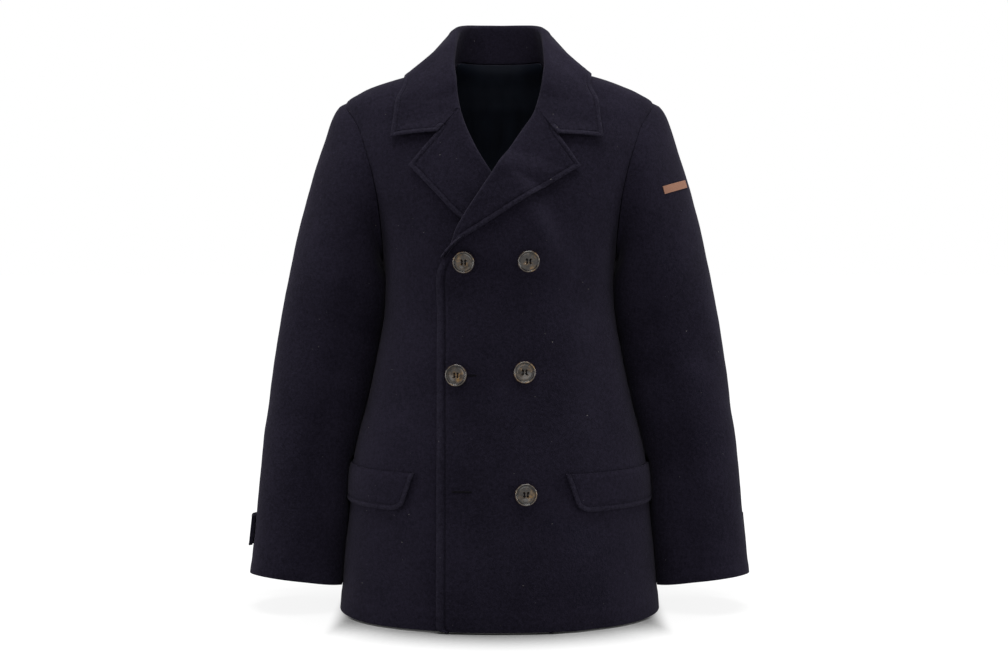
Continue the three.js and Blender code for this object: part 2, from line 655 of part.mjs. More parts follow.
const buttonShape = buttonGeometry();
buttons.forEach(({ x, z }, i) => {
  const onFront = (px, pz) => onBody(angleAtX(px, pz), pz, lapHeight(px, pz));
  const across = onFront(x + buttonRadius, z).sub(onFront(x - buttonRadius, z));
  const up = onFront(x, z + buttonRadius).sub(onFront(x, z - buttonRadius));
  const facing = across.cross(up).normalize();
  const centre = onFront(x, z);
  const rise = Math.max(0, ...Array.from({ length: 8 }, (_, k) => {
    const turn = (k * Math.PI) / 4;
    return onFront(x + buttonRadius * Math.cos(turn), z + buttonRadius * Math.sin(turn)).sub(centre).dot(facing);
  }));
  const button = add(coat, `button_${i + 1}`, buttonShape, horn);
  button.position.copy(centre).addScaledVector(facing, rise + 2 * seam);
  button.quaternion.setFromUnitVectors(new THREE.Vector3(0, 1, 0), facing);
});

export default coat;
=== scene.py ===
# %% [markdown]
# A double-breasted pea coat in heavy navy melton, filled out as when worn with nobody in it. The frame
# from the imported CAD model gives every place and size. Each cloth piece here is a thin shell that
# stands for the solid of the same name, so the coat keeps its form and gains its edges and folds.

import bmesh
import bpy
import numpy as np
from mathutils import Matrix, Vector


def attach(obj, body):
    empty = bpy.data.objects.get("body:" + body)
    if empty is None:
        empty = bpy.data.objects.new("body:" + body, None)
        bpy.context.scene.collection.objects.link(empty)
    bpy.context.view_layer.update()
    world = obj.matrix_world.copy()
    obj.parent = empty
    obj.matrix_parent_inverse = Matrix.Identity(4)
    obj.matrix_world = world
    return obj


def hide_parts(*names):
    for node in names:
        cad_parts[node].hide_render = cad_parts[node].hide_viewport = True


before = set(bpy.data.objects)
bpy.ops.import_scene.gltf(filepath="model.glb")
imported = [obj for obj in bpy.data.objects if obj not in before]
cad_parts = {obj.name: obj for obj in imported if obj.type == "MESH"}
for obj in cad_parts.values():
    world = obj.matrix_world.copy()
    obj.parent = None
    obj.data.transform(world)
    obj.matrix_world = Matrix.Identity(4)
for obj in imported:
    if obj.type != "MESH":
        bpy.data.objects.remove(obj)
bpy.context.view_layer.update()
print("CAD nodes:", len(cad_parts))

# %% [markdown]
# A tailor cuts a coat to a few measures round the body, and eases the cloth between them. The form is
# made in the same way: a short table gives the half-width and the depths of the filled coat at each
# height, and a smooth curve runs through the rows. Sizes are in millimetres, as on a cutting table.

# %% Tables of the form
MM = 0.001
WALL = 3
SEAM = 0.3
LAY = 0.9
NO_EDGE = 99


def table(names, *rows):
    """The columns of a short table by name."""
    return dict(zip(names.split(), np.array(rows, float).T))


BODY = table(
    "z side front back square",
    (-719, 215, 145, 145, 2.3),
    (-640, 209, 141, 138, 2.3),
    (-585, 203, 138, 132, 2.3),
    (-528, 199, 135, 126, 2.3),
    (-483, 190, 131, 120, 2.3),
    (-442, 179, 127, 114, 2.3),
    (-374, 165, 121, 104, 2.35),
    (-306, 155, 118, 99, 2.4),
    (-239, 158, 121, 105, 2.5),
    (-190, 172, 120, 112, 2.6),
    (-140, 188, 112, 114, 2.8),
    (-100, 200, 100, 108, 2.9),
    (-70, 207, 87, 99, 2.75),
    (-50, 210, 79, 92, 2.6),
    (-37, 206, 72, 86, 2.5),
    (-28, 192, 69, 83, 2.45),
    (-20, 176, 66, 80, 2.45),
    (-7, 138, 61, 75, 2.5),
    (3, 98, 56, 70, 2.5),
    (12, 72, 50, 66, 2.5),
    (24, 67, 46, 64, 2.5),
)
HEM_Z = -719
NECK_Z = 12
SEAM_Y = 9
ARMHOLE_TOP = -37
ARMHOLE_BOTTOM = -250
ARMHOLE_DEPTH = 81
ARMHOLE_MIDDLE = (ARMHOLE_TOP + ARMHOLE_BOTTOM) / 2
ARMHOLE_HALF = (ARMHOLE_TOP - ARMHOLE_BOTTOM) / 2
TOP_ROLL = table(
    "z x",
    (-719, -79),
    (-320, -79),
    (-268, -79),
    (-253, -73.7),
    (-235, -63.6),
    (-202, -49.8),
    (-139, -8.8),
    (-94, 21.6),
    (-56, 45.8),
    (1, 58.6),
    (12, 62),
)
UNDER_ROLL = table(
    "z x",
    (-719, 79),
    (-320, 79),
    (-268, 74),
    (-235, 50),
    (-190, 25),
    (-139, -8.8),
    (-97, -34),
    (-56, -50),
    (-5, -59),
    (12, -62),
)
TOP_LAPEL = table(
    "level x z fold",
    (58.5, 74.5, -81, 4.2),
    (54, 72, -84, 5),
    (36, 89, -108, 5),
    (18, 104, -130, 5),
    (0, 62, -156, 4.6),
    (-18, 20, -182, 4.3),
    (-36, -20, -207, 4),
    (-54, -50, -226, 3.6),
    (-64, -62, -237, 3.2),
    (-75, -71, -247.5, 1.9),
)
UNDER_LAPEL = table(
    "level x z fold",
    (58.5, -79.5, -79, 4.2),
    (54, -77, -82, 5),
    (36, -97, -106, 5),
    (18, -116, -129, 4.8),
    (0, -86, -160, 3.9),
    (-18, -52, -195, 3.7),
    (-36, -10, -224, 3.7),
    (-54, 30, -238, 3.7),
)


def smoothstep(value, low, high):
    t = np.clip((value - low) / (high - low), 0, 1)
    return t * t * (3 - 2 * t)


def curve(columns, key, column, place):
    """A column's value at a place along the key column, on a smooth curve through the rows."""
    keys = columns[key]
    values = columns[column]
    if keys[0] > keys[-1]:
        keys = keys[::-1]
        values = values[::-1]
    rows = np.arange(len(keys))
    before = np.maximum(rows - 1, 0)
    after = np.minimum(rows + 1, len(keys) - 1)
    slope = (values[after] - values[before]) / (keys[after] - keys[before])
    place = np.asarray(place, float)
    i = np.clip(np.searchsorted(keys, place) - 1, 0, len(keys) - 2)
    step = keys[i + 1] - keys[i]
    t = np.clip((place - keys[i]) / step, 0, 1)
    rest = 1 - t
    ends = rest * rest * (1 + 2 * t) * values[i] + t * t * (3 - 2 * t) * values[i + 1]
    return ends + t * rest * step * (rest * slope[i] - t * slope[i + 1])


def unit(vectors):
    return vectors / np.maximum(np.linalg.norm(vectors, axis=-1, keepdims=True), 1e-9)


def on_ring(angle, z):
    """Points of the body's surface. The angle runs from the front, positive to the wearer's left."""
    angle, z = np.broadcast_arrays(np.asarray(angle, float), np.asarray(z, float))
    in_front = np.cos(angle) > 0
    depth = np.where(in_front, curve(BODY, "z", "front", z), curve(BODY, "z", "back", z))
    square = curve(BODY, "z", "square", z)
    across = np.abs(np.sin(angle)) / curve(BODY, "z", "side", z)
    deep = np.abs(np.cos(angle)) / depth
    radius = (across**square + deep**square) ** (-1 / square)
    return np.stack([radius * np.sin(angle), -radius * np.cos(angle), z], -1)


def outward(angle, z):
    round_it = on_ring(angle + 0.004, z) - on_ring(angle - 0.004, z)
    up = on_ring(angle, z + 1) - on_ring(angle, z - 1)
    return unit(np.cross(round_it, up))


def on_body(angle, z, out=0):
    out = np.asarray(out, float)[..., None]
    return on_ring(angle, z) + outward(angle, z) * out


def angle_at_x(x, z):
    """The angle at which the front of the body has this x."""
    square = curve(BODY, "z", "square", z)
    share = np.clip(1 - (np.abs(x) / curve(BODY, "z", "side", z)) ** square, 0.0001, 1)
    return np.arctan2(x, curve(BODY, "z", "front", z) * share ** (1 / square))


def angle_at_y(y, z):
    """The angle at which the body's side has this y."""
    depth = np.where(y < 0, curve(BODY, "z", "front", z), curve(BODY, "z", "back", z))
    square = curve(BODY, "z", "square", z)
    share = (1 - (np.abs(y) / depth) ** square) ** (1 / square)
    return np.arctan2(curve(BODY, "z", "side", z) * share, -y)


def level_z(level):
    return ARMHOLE_MIDDLE + ARMHOLE_HALF * np.sin(np.radians(level))


def to_segment(points, a, b):
    """Each point's distance from the straight line between two places, and its share of the way."""
    step = b - a
    share = np.clip((points - a) @ step / max(step @ step, 1e-9), 0, 1)
    return np.linalg.norm(points - a - share[..., None] * step, axis=-1), share


def outline_distance(points, line):
    """Each point's distance from a line of places, and how far along it the nearest place is."""
    nearest = np.full(points.shape[:-1], 1e9)
    along = np.zeros(points.shape[:-1])
    start = 0.0
    for a, b in zip(line[:-1], line[1:]):
        gap, share = to_segment(points, a, b)
        length = np.linalg.norm(b - a)
        along = np.where(gap < nearest, start + share * length, along)
        nearest = np.minimum(nearest, gap)
        start += length
    return nearest, along


UNDER_OUTLINE = np.concatenate(
    [
        np.stack([curve(UNDER_ROLL, "z", "x", level_z(UNDER_LAPEL["level"][1:])),
                  level_z(UNDER_LAPEL["level"][1:])], -1),
        np.stack([UNDER_LAPEL["x"], UNDER_LAPEL["z"]], -1)[:0:-1],
    ]
)
UNDER_OUTLINE = np.concatenate([UNDER_OUTLINE, UNDER_OUTLINE[:1]])


def outside_under_lapel(x, z):
    """The distance from places on the front to the outline of the lapel beneath, 0 inside it."""
    inside = np.zeros(np.shape(x), bool)
    for a, b in zip(UNDER_OUTLINE[:-1], UNDER_OUTLINE[1:]):
        if a[1] == b[1]:
            continue
        crossing = (a[1] > z) != (b[1] > z)
        inside ^= crossing & (x < a[0] + (z - a[1]) * (b[0] - a[0]) / (b[1] - a[1]))
    return np.where(inside, 0, outline_distance(np.stack([x, z], -1), UNDER_OUTLINE)[0])


def lap_height(x, z):
    """How far the lapped front stands off the body, over the front and the lapel beneath it."""
    over_front = 1 - smoothstep(x - curve(UNDER_ROLL, "z", "x", z), 8, 55)
    over_lapel = 1 - smoothstep(outside_under_lapel(x, z), 10, 38)
    return (WALL + LAY) * over_front + 7 * over_lapel


def flat_height(x, z):
    return np.zeros(np.shape(x))


hem = on_body(np.radians([0, 90, 180]), np.full(3, float(HEM_Z)))
print("hem, front side back, mm:", np.round(hem[:, :2]).tolist())

# %% [markdown]
# Melton is woven wool, milled and brushed until the weave is hidden under a short nap. Light catches
# the nap at a glancing angle, so the cloth gets a sheen. Shared effects are node groups: one for the
# nap with its lint, and one for the stitched line that runs beside each finished edge.


# %% Node groups
def group(name, inputs, outputs):
    tree = bpy.data.node_groups.new(name, "ShaderNodeTree")
    for label, kind, value in inputs:
        socket = tree.interface.new_socket(label, in_out="INPUT", socket_type=kind)
        socket.default_value = value
    for label, kind in outputs:
        tree.interface.new_socket(label, in_out="OUTPUT", socket_type=kind)
    return tree


def node(tree, kind, inputs=(), **settings):
    """A node with its settings, and its inputs set or linked."""
    made = tree.nodes.new(kind)
    for key, value in settings.items():
        setattr(made, key, value)
    for key, value in dict(inputs).items():
        if isinstance(value, bpy.types.NodeSocket):
            tree.links.new(value, made.inputs[key])
        else:
            made.inputs[key].default_value = value
    return made


def math(tree, operation, *values):
    return node(tree, "ShaderNodeMath", dict(enumerate(values)), operation=operation).outputs[0]


def ramp(tree, value, low, high, start=0.0, end=1.0):
    """A value mapped smoothly from one range to another."""
    inputs = {"Value": value, "From Min": low, "From Max": high, "To Min": start, "To Max": end}
    return node(tree, "ShaderNodeMapRange", inputs, interpolation_type="SMOOTHSTEP").outputs["Result"]


def mixed(tree, factor, first, second):
    """A colour between two others."""
    inputs = {"Factor": factor, "A": first, "B": second}
    return node(tree, "ShaderNodeMix", inputs, data_type="RGBA").outputs["Result"]


def raised_by(tree, shader, height, distance, strength=1.0):
    """The shader's surface, raised by a height."""
    bump = node(tree, "ShaderNodeBump", {"Height": height, "Distance": distance, "Strength": strength})
    tree.links.new(bump.outputs["Normal"], shader.inputs["Normal"])


def noise(tree, point, scale, detail=2.0, rough=0.5):
    inputs = {"Vector": point, "Scale": scale, "Detail": detail, "Roughness": rough}
    return node(tree, "ShaderNodeTexNoise", inputs).outputs["Fac"]


def nap_group():
    """Nap of milled wool: how light the cloth is, its relief, and specks of lint."""
    tree = group(
        "nap",
        [("Fibre", "NodeSocketFloat", 900.0), ("Lint", "NodeSocketFloat", 0.55)],
        [("Light", "NodeSocketFloat"), ("Relief", "NodeSocketFloat"), ("Lint", "NodeSocketFloat")],
    )
    given = tree.nodes.new("NodeGroupInput")
    result = tree.nodes.new("NodeGroupOutput")
    point = tree.nodes.new("ShaderNodeTexCoord").outputs["Object"]
    fine = noise(tree, point, given.outputs["Fibre"], 3.0, 0.65)
    tuft = noise(tree, point, 260.0, 3.0, 0.6)
    patch = noise(tree, point, 14.0, 2.0, 0.5)
    light = math(tree, "MULTIPLY_ADD", fine, 0.55, math(tree, "MULTIPLY", tuft, 0.3))
    light = math(tree, "MULTIPLY_ADD", patch, 0.15, light)
    relief = math(tree, "MULTIPLY_ADD", fine, 0.5, math(tree, "MULTIPLY", tuft, 0.5))
    bent = noise(tree, point, 220.0, 1.0)
    shift = node(tree, "ShaderNodeVectorMath", {0: bent, 1: (0.004, 0.004, 0.004)}, operation="MULTIPLY")
    both = node(tree, "ShaderNodeVectorMath", {0: point, 1: shift.outputs[0]}, operation="ADD")
    cells = node(tree, "ShaderNodeTexVoronoi", {"Vector": both.outputs[0], "Scale": 105.0})
    chance = node(tree, "ShaderNodeSeparateColor", {0: cells.outputs["Color"]})
    kept = math(tree, "LESS_THAN", chance.outputs["Red"], given.outputs["Lint"])
    size = math(tree, "MULTIPLY_ADD", chance.outputs["Green"], 0.045, 0.012)
    speck = math(tree, "LESS_THAN", cells.outputs["Distance"], size)
    lint = math(tree, "MULTIPLY", kept, speck)
    lint = math(tree, "MULTIPLY", lint, chance.outputs["Blue"])
    tree.links.new(light, result.inputs["Light"])
    tree.links.new(relief, result.inputs["Relief"])
    tree.links.new(lint, result.inputs["Lint"])
    return tree


def stitch_group():
    """A stitched line at a set distance from the edge: how far its groove sinks, stitch by stitch."""
    tree = group(
        "stitched_line",
        [("Inset", "NodeSocketFloat", 0.0065), ("Length", "NodeSocketFloat", 0.0034)],
        [("Depth", "NodeSocketFloat"), ("Wear And Highlight", "NodeSocketFloat")],
    )
    given = tree.nodes.new("NodeGroupInput")
    result = tree.nodes.new("NodeGroupOutput")
    edge = node(tree, "ShaderNodeAttribute", attribute_name="edge").outputs["Fac"]
    along = node(tree, "ShaderNodeAttribute", attribute_name="along").outputs["Fac"]
    off = math(tree, "ABSOLUTE", math(tree, "SUBTRACT", edge, given.outputs["Inset"]))
    groove = ramp(tree, off, 0.0, 0.0015, 1.0, 0.0)
    swing = math(tree, "PINGPONG", along, math(tree, "MULTIPLY", given.outputs["Length"], 0.5))
    end = math(tree, "DIVIDE", swing, given.outputs["Length"])
    beat = ramp(tree, end, 0.0, 0.2, 1.0, 0.55)
    tree.links.new(math(tree, "MULTIPLY", groove, beat), result.inputs["Depth"])
    # The band by the edge, lightened as worn nap and as a painted highlight, fades out towards the stitched
    # line.
    inner = math(tree, "MULTIPLY", given.outputs["Inset"], 0.55)
    tree.links.new(ramp(tree, edge, inner, given.outputs["Inset"], 1.0, 0.0), result.inputs["Wear And Highlight"])
    return tree


NAP = nap_group()
STITCHED = stitch_group()


def finish_material(name, settings):
    """A new material with these values on its Principled BSDF."""
    made = bpy.data.materials.new(name)
    made.use_nodes = True
    shader = made.node_tree.nodes["Principled BSDF"]
    for key, value in settings.items():
        shader.inputs[key].default_value = value
    return made, made.node_tree, shader


def melton(name, dark, light, inset=0.0065):
    """Napped navy wool with a stitched line this far from its edges."""
    made, tree, shader = finish_material(
        name,
        {
            "Roughness": 0.95,
            "Specular IOR Level": 0.03,
            "Sheen Weight": 0.03,
            "Sheen Roughness": 0.45,
            "Sheen Tint": (0.66, 0.62, 0.78, 1),
        },
    )
    nap = node(tree, "ShaderNodeGroup", node_tree=NAP)
    line = node(tree, "ShaderNodeGroup", node_tree=STITCHED)
    line.inputs["Inset"].default_value = inset
    shade = mixed(tree, ramp(tree, nap.outputs["Light"], 0.36, 0.66), dark, light)
    tuft = ramp(tree, nap.outputs["Light"], 0.35, 0.7, 0.0, 0.42)
    # Lighter band along each stitched edge: partly worn nap, partly a painted highlight on the raised edge.
    painted_edge_light = mixed(tree, math(tree, "MULTIPLY", line.outputs["Wear And Highlight"], tuft), shade, (0.018, 0.0165, 0.025, 1))
    # The stitched groove is darkened: painted shade.
    painted_groove_shade = mixed(tree, math(tree, "MULTIPLY", line.outputs["Depth"], 0.25), painted_edge_light, (0.002, 0.002, 0.003, 1))
    specked = mixed(tree, math(tree, "MULTIPLY", nap.outputs["Lint"], 0.4), painted_groove_shade, (0.34, 0.32, 0.3, 1))
    tree.links.new(specked, shader.inputs["Base Color"])
    groove = math(tree, "MULTIPLY", line.outputs["Depth"], 1.2)
    raised_by(tree, shader, math(tree, "SUBTRACT", nap.outputs["Relief"], groove), 0.0006, 0.8)
    return made


DARK = (0.0034, 0.0029, 0.0056, 1)
LIGHT = (0.0108, 0.0093, 0.0166, 1)
MELTON = melton("melton", DARK, LIGHT)
MELTON_FRONT = melton("melton_front", DARK, LIGHT, 0.011)

# %% [markdown]
# The lining is a weft satin: it is smooth and dark, and its folds show as long soft streaks, painted into
# its colour as sheen and shade as well as raised in its relief. The buttons are horn, pressed and polished,
# with amber patches that differ from one to the next.


# %% Satin and horn
def satin():
    made, tree, shader = finish_material("satin", {"Roughness": 0.6, "Specular IOR Level": 0.08})
    point = tree.nodes.new("ShaderNodeTexCoord").outputs["Object"]
    stretched = node(tree, "ShaderNodeMapping", {"Vector": point, "Scale": (60, 60, 4)})
    streak = noise(tree, stretched.outputs["Vector"], 1.0, 3.0)
    # The streaks lighten and darken the colour: painted sheen and shade of the folds.
    shade = mixed(tree, streak, (0.0026, 0.0033, 0.0064, 1), (0.0078, 0.0105, 0.0175, 1))
    tree.links.new(shade, shader.inputs["Base Color"])
    raised_by(tree, shader, streak, 0.0004, 0.5)
    return made


def horn():
    made, tree, shader = finish_material(
        "horn", {"Roughness": 0.22, "Specular IOR Level": 0.45, "Coat Weight": 0.3, "Coat Roughness": 0.08}
    )
    point = tree.nodes.new("ShaderNodeTexCoord").outputs["Object"]
    patch = ramp(tree, noise(tree, point, 85.0, 4.0, 0.65), 0.48, 0.72, 0.0, 0.75)
    vein = ramp(tree, noise(tree, point, 210.0, 2.0, 0.6), 0.4, 0.75)
    base = mixed(tree, vein, (0.011, 0.008, 0.0056, 1), (0.05, 0.036, 0.024, 1))
    amber = mixed(tree, patch, base, (0.2, 0.11, 0.03, 1))
    # Raised rim made lighter, a painted highlight; groove ring inside it made darker, painted shade.
    rim = node(tree, "ShaderNodeAttribute", attribute_name="rim").outputs["Fac"]
    painted_edge_light = mixed(tree, math(tree, "MULTIPLY", rim, 0.22), amber, (0.075, 0.064, 0.056, 1))
    painted_groove_shade = mixed(tree, math(tree, "MULTIPLY", rim, -0.9), painted_edge_light, (0.002, 0.002, 0.002, 1))
    tree.links.new(painted_groove_shade, shader.inputs["Base Color"])
    return made


def plain(name, colour, rough=0.8):
    values = {"Roughness": rough, "Base Color": colour, "Specular IOR Level": 0.05}
    made, tree, shader = finish_material(name, values)
    point = tree.nodes.new("ShaderNodeTexCoord").outputs["Object"]
    raised_by(tree, shader, noise(tree, point, 900.0), 0.0003)
    return made


SATIN = satin()
HORN = horn()
THREAD = plain("thread", (0.0028, 0.0024, 0.0034, 1))
RUST = plain("rust_thread", (0.17, 0.088, 0.06, 1))
print("materials:", len(bpy.data.materials))

# %% [markdown]
# Each piece of cloth starts as a flat grid, as a piece starts flat on the cutting table. Its points
# are then laid on the form. Solidify gives the cloth its thickness and Bevel rounds the cut edges,
# because turned wool never has a sharp one. The flat size that is declared is measured on the form
# before any crease is pressed into it.


# %% Cloth tools
def normals(points, sign, closed=False):
    if closed:
        across = np.roll(points, -1, 1) - np.roll(points, 1, 1)
    else:
        across = np.gradient(points, axis=1)
    return unit(np.cross(across, np.gradient(points, axis=0))) * sign


def area_of(points, closed=False):
    ring = np.concatenate([points, points[:, :1]], 1) if closed else points
    across = ring[:, 1:] - ring[:, :-1]
    up = ring[1:] - ring[:-1]
    return np.linalg.norm(np.cross(across[:-1], up[:, :-1]), axis=-1).sum()


def longest(points, axis, closed=False):
    ring = np.concatenate([points, points[:, :1]], 1) if closed else points
    return np.linalg.norm(np.diff(ring, axis=axis), axis=-1).sum(axis).max()


def flat_cut(points, closed=False):
    """The flat width, length and area of a grid of points, in metres."""
    return (
        longest(points, 1, closed) * MM,
        longest(points, 0, closed) * MM,
        area_of(points, closed) * MM * MM,
    )


def link(name, bm, material):
    mesh = bpy.data.meshes.new(name)
    bm.to_mesh(mesh)
    bm.free()
    mesh.polygons.foreach_set("use_smooth", [True] * len(mesh.polygons))
    mesh.materials.append(material)
    made = bpy.data.objects.new(name, mesh)
    bpy.context.scene.collection.objects.link(made)
    return made


def cloth(name, points, sign, wall=WALL, material=None, closed=False, round_mm=1.3, **attributes):
    """A thin shell through a grid of points on its outer face, for the CAD node of that name."""
    rows, columns = points.shape[:2]
    if closed:
        points = np.concatenate([points, points[:, :1]], 1)
        attributes = {key: np.concatenate([a, a[:, :1]], 1) for key, a in attributes.items()}
        columns += 1
    bm = bmesh.new()
    bmesh.ops.create_grid(bm, x_segments=columns - 1, y_segments=rows - 1, size=1)
    layers = {key: bm.verts.layers.float.new(key) for key in attributes}
    for vert in bm.verts:
        i = round((vert.co.y + 1) / 2 * (rows - 1))
        j = round((vert.co.x + 1) / 2 * (columns - 1))
        vert.co = points[i, j] * MM
        for key, layer in layers.items():
            vert[layer] = attributes[key][i, j]
    if closed:
        bmesh.ops.remove_doubles(bm, verts=bm.verts[:], dist=1e-6)
    if sign < 0:
        bmesh.ops.reverse_faces(bm, faces=bm.faces[:])
    made = link(name + "_cloth", bm, material or MELTON)
    thick = made.modifiers.new("thickness", "SOLIDIFY")
    thick.thickness = wall * MM
    thick.offset = -1
    rim = made.modifiers.new("turned_edge", "BEVEL")
    rim.width = round_mm * MM
    rim.segments = 4
    rim.limit_method = "ANGLE"
    rim.angle_limit = np.radians(50)
    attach(made, "root")
    if name != "mark":
        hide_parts(name)
    return made


def declare(made, cut):
    """State a piece's name and flat cut."""
    print(made.name, "flat cut, m:", np.round(cut, 3).tolist())


def spaced(length, near, far, steps):
    """Distances along rows of these lengths: set ones from each end, and even steps between."""
    near = np.array(near, float)
    far = np.array(far, float)
    length = np.asarray(length, float)[:, None]
    near = near * np.minimum(1, 0.4 * length / near[-1])
    far = far * np.minimum(1, 0.3 * length / max(far[-1], 1e-9))
    inner = np.linspace(0, 1, steps + 1)[1:-1]
    a = near[:, -1:]
    b = far[:, -1:]
    return np.concatenate([near, a + (length - a - b) * inner, length - far[:, ::-1]], 1)


def strip(start, end, z, height, near, far, steps):
    """Rows on the body between two angles, and each point's distance from the start and angle."""
    share = np.linspace(0, 1, 161)
    angles = start[:, None] + (end - start)[:, None] * share
    heights = np.repeat(z[:, None], len(share), 1)
    ring = on_ring(angles, heights)
    ring = ring + outward(angles, heights) * height(ring[..., 0], heights)[..., None]
    travelled = np.linalg.norm(np.diff(ring, axis=1), axis=-1).cumsum(1)
    travelled = np.concatenate([np.zeros((len(z), 1)), travelled], 1)
    distance = spaced(travelled[:, -1], near, far, steps)
    angle = np.array([np.interp(d, t, a) for d, t, a in zip(distance, travelled, angles)])
    rows = np.repeat(z[:, None], distance.shape[1], 1)
    base = on_ring(angle, rows)
    out = height(base[..., 0], rows)
    return on_body(angle, rows, out), distance, outward(angle, rows)


def waves(points, size=1.0):
    """Slow unevenness of a heavy cloth, a fraction of a millimetre high."""
    x, y, z = points[..., 0], points[..., 1], points[..., 2]
    total = 0.35 * np.sin(x / 31 + z / 47 + 1.3) * np.sin(z / 38 - x / 90 + y / 45)
    total = total + 0.25 * np.sin(x / 17 - z / 29 + y / 23 + 0.4) * np.sin(z / 21 + 2.1)
    total = total + 0.12 * np.sin(x / 9.5 + y / 11 + z / 13) * np.sin(z / 8.7 - x / 14 + 0.7)
    return total * size


def creases(points, rows):
    """Soft troughs and ridges between pairs of places, in x, y and z, each of a width and a height."""
    total = np.zeros(points.shape[:-1])
    for x0, y0, z0, x1, y1, z1, width, height in rows:
        gap, share = to_segment(points, np.array([x0, y0, z0], float), np.array([x1, y1, z1], float))
        total += height * np.exp(-((gap / width) ** 2)) * (0.35 + 0.65 * np.sin(np.pi * share) ** 0.6)
    return total


def welt(distance, inset, rise=0.9, depth=0.8):
    """The swelled edge: cloth puffs up between the edge and the stitched line, which sinks."""
    swell = rise * np.sin(np.pi * np.clip(distance / inset, 0, 1)) ** 0.7
    groove = depth * np.exp(-(((distance - inset) / 2.1) ** 2))
    beyond = 0.3 * rise * np.exp(-(((distance - inset - 5.5) / 3.2) ** 2))
    return swell - groove + beyond


def turned_hem(rise_mm, from_hem):
    """The turned-up cloth inside makes the hem a little thicker, down to its fold."""
    step = 1 - smoothstep(from_hem, rise_mm - 7, rise_mm + 7)
    line = np.exp(-(((from_hem - rise_mm) / 3.0) ** 2))
    return 0.7 * step - 0.12 * line


HEM_ROWS = [0, 0.8, 2, 4, 7, 10, 13, 16, 18.5, 20.5, 22, 23.5, 25, 26.5, 28.5, 31]
SKIRT_Z = HEM_Z + np.array(HEM_ROWS)
SKIRT_Z = np.concatenate([SKIRT_Z, np.linspace(SKIRT_Z[-1], ARMHOLE_BOTTOM, 118)[1:]])
ARMHOLE_Z = level_z(np.linspace(-90, 90, 57))[1:]


def armhole_depth(z):
    inside = np.clip(1 - ((z - ARMHOLE_MIDDLE) / ARMHOLE_HALF) ** 2, 0, 1)
    return ARMHOLE_DEPTH * np.sqrt(inside)


# %% [markdown]
# The fronts. The wearer's left front laps over the right one and is stitched along its edge. Each
# front hangs from the shoulder, so its creases are faint: a drag towards the armhole, a hollow beside
# the lapel, and the weight of the pockets below.

# %% Fronts
FRONT_CREASES = [
    (120, -98, -262, 60, -118, -330, 16, -1.0),
    (138, -96, -300, 92, -112, -372, 20, 0.9),
    (150, -80, -420, 110, -110, -470, 22, -1.1),
    (60, -124, -600, 72, -134, -712, 26, -1.4),
    (128, -115, -610, 140, -118, -716, 20, 1.2),
    (-20, -128, -430, -10, -132, -520, 24, -0.8),
    (4, -124, -300, -10, -128, -370, 22, 0.7),
    (-120, -98, -262, -84, -112, -330, 16, -1.0),
    (-142, -92, -310, -104, -110, -380, 19, 0.9),
    (-150, -80, -410, -112, -110, -455, 22, -1.0),
    (-132, -112, -600, -140, -118, -712, 24, -1.3),
    (-96, -130, -640, -92, -138, -716, 18, 0.9),
    (150, -60, -150, 120, -95, -215, 14, -0.9),
    (-150, -60, -150, -120, -95, -215, 14, -0.9),
]
NEAR_EDGE = [0, 0.8, 2, 3.5, 5, 6.5, 8, 9, 10, 11, 12, 13, 14.5, 16.5, 19, 22]
SHOULDER_Z = np.linspace(ARMHOLE_TOP, NECK_Z, 21)[1:]
FRONT_Z = np.concatenate([SKIRT_Z, ARMHOLE_Z, SHOULDER_Z])


def corner(z, radius):
    """How far the front's lower corner is rounded back at each height."""
    up = np.clip((z - HEM_Z) / radius, 0, 1)
    return radius * (1 - np.sqrt(1 - (1 - up) ** 2))


def front(name, roll, side, height, material):
    z = FRONT_Z
    tucked = 5 * smoothstep(z, -250, -225)
    edge_x = curve(roll, "z", "x", z) + side * (tucked + corner(z, 6))
    start = angle_at_x(edge_x, z)
    end = side * angle_at_y(SEAM_Y - SEAM / 2 - armhole_depth(z), z)
    points, distance, out = strip(start, end, z, height, NEAR_EDGE, [0, 1.5, 4], 62)
    cut = flat_cut(points)
    below = 1 - smoothstep(points[..., 2], -262, -240)
    raised = welt(distance, 11, 1.4, 1.0) * below + turned_hem(24, points[..., 2] - HEM_Z)
    raised = raised + waves(points) + creases(points, FRONT_CREASES)
    points = points + out * raised[..., None]
    edge = np.where(below > 0.5, distance, NO_EDGE) * MM
    made = cloth(name, points, side, material=material, edge=edge, along=points[..., 2] * MM)
    declare(made, cut)


front("front_under", UNDER_ROLL, -1, flat_height, MELTON_FRONT)
front("front_top", TOP_ROLL, 1, lap_height, MELTON_FRONT)

# %% [markdown]
# The back is cut in one piece. It hangs from the shoulder blades, so its folds run down from them and
# open towards the hem, with two short drags below the armholes.

# %% Back
BACK_CREASES = [
    (70, 110, -150, 96, 118, -420, 24, -1.4),
    (-64, 112, -170, -82, 120, -400, 22, -1.3),
    (20, 112, -300, 34, 140, -700, 30, -1.6),
    (-36, 114, -330, -60, 142, -712, 26, 1.5),
    (110, 112, -470, 128, 128, -712, 24, -1.5),
    (-118, 108, -440, -132, 126, -716, 26, -1.4),
    (0, 116, -120, -6, 110, -250, 26, 0.8),
    (140, 60, -262, 96, 100, -330, 16, -1.3),
    (-142, 60, -262, -104, 98, -322, 15, -1.2),
    (80, 118, -560, 84, 138, -716, 18, 1.1),
]


BACK_FOLDS = table(
    "angle top bottom drift width out",
    (152, -170, -660, -8, 28, -4),
    (204, -150, -620, 7, 26, -3.5),
    (174, -300, -790, -6, 32, 3.5),
    (228, -420, -790, 6, 28, -4),
)


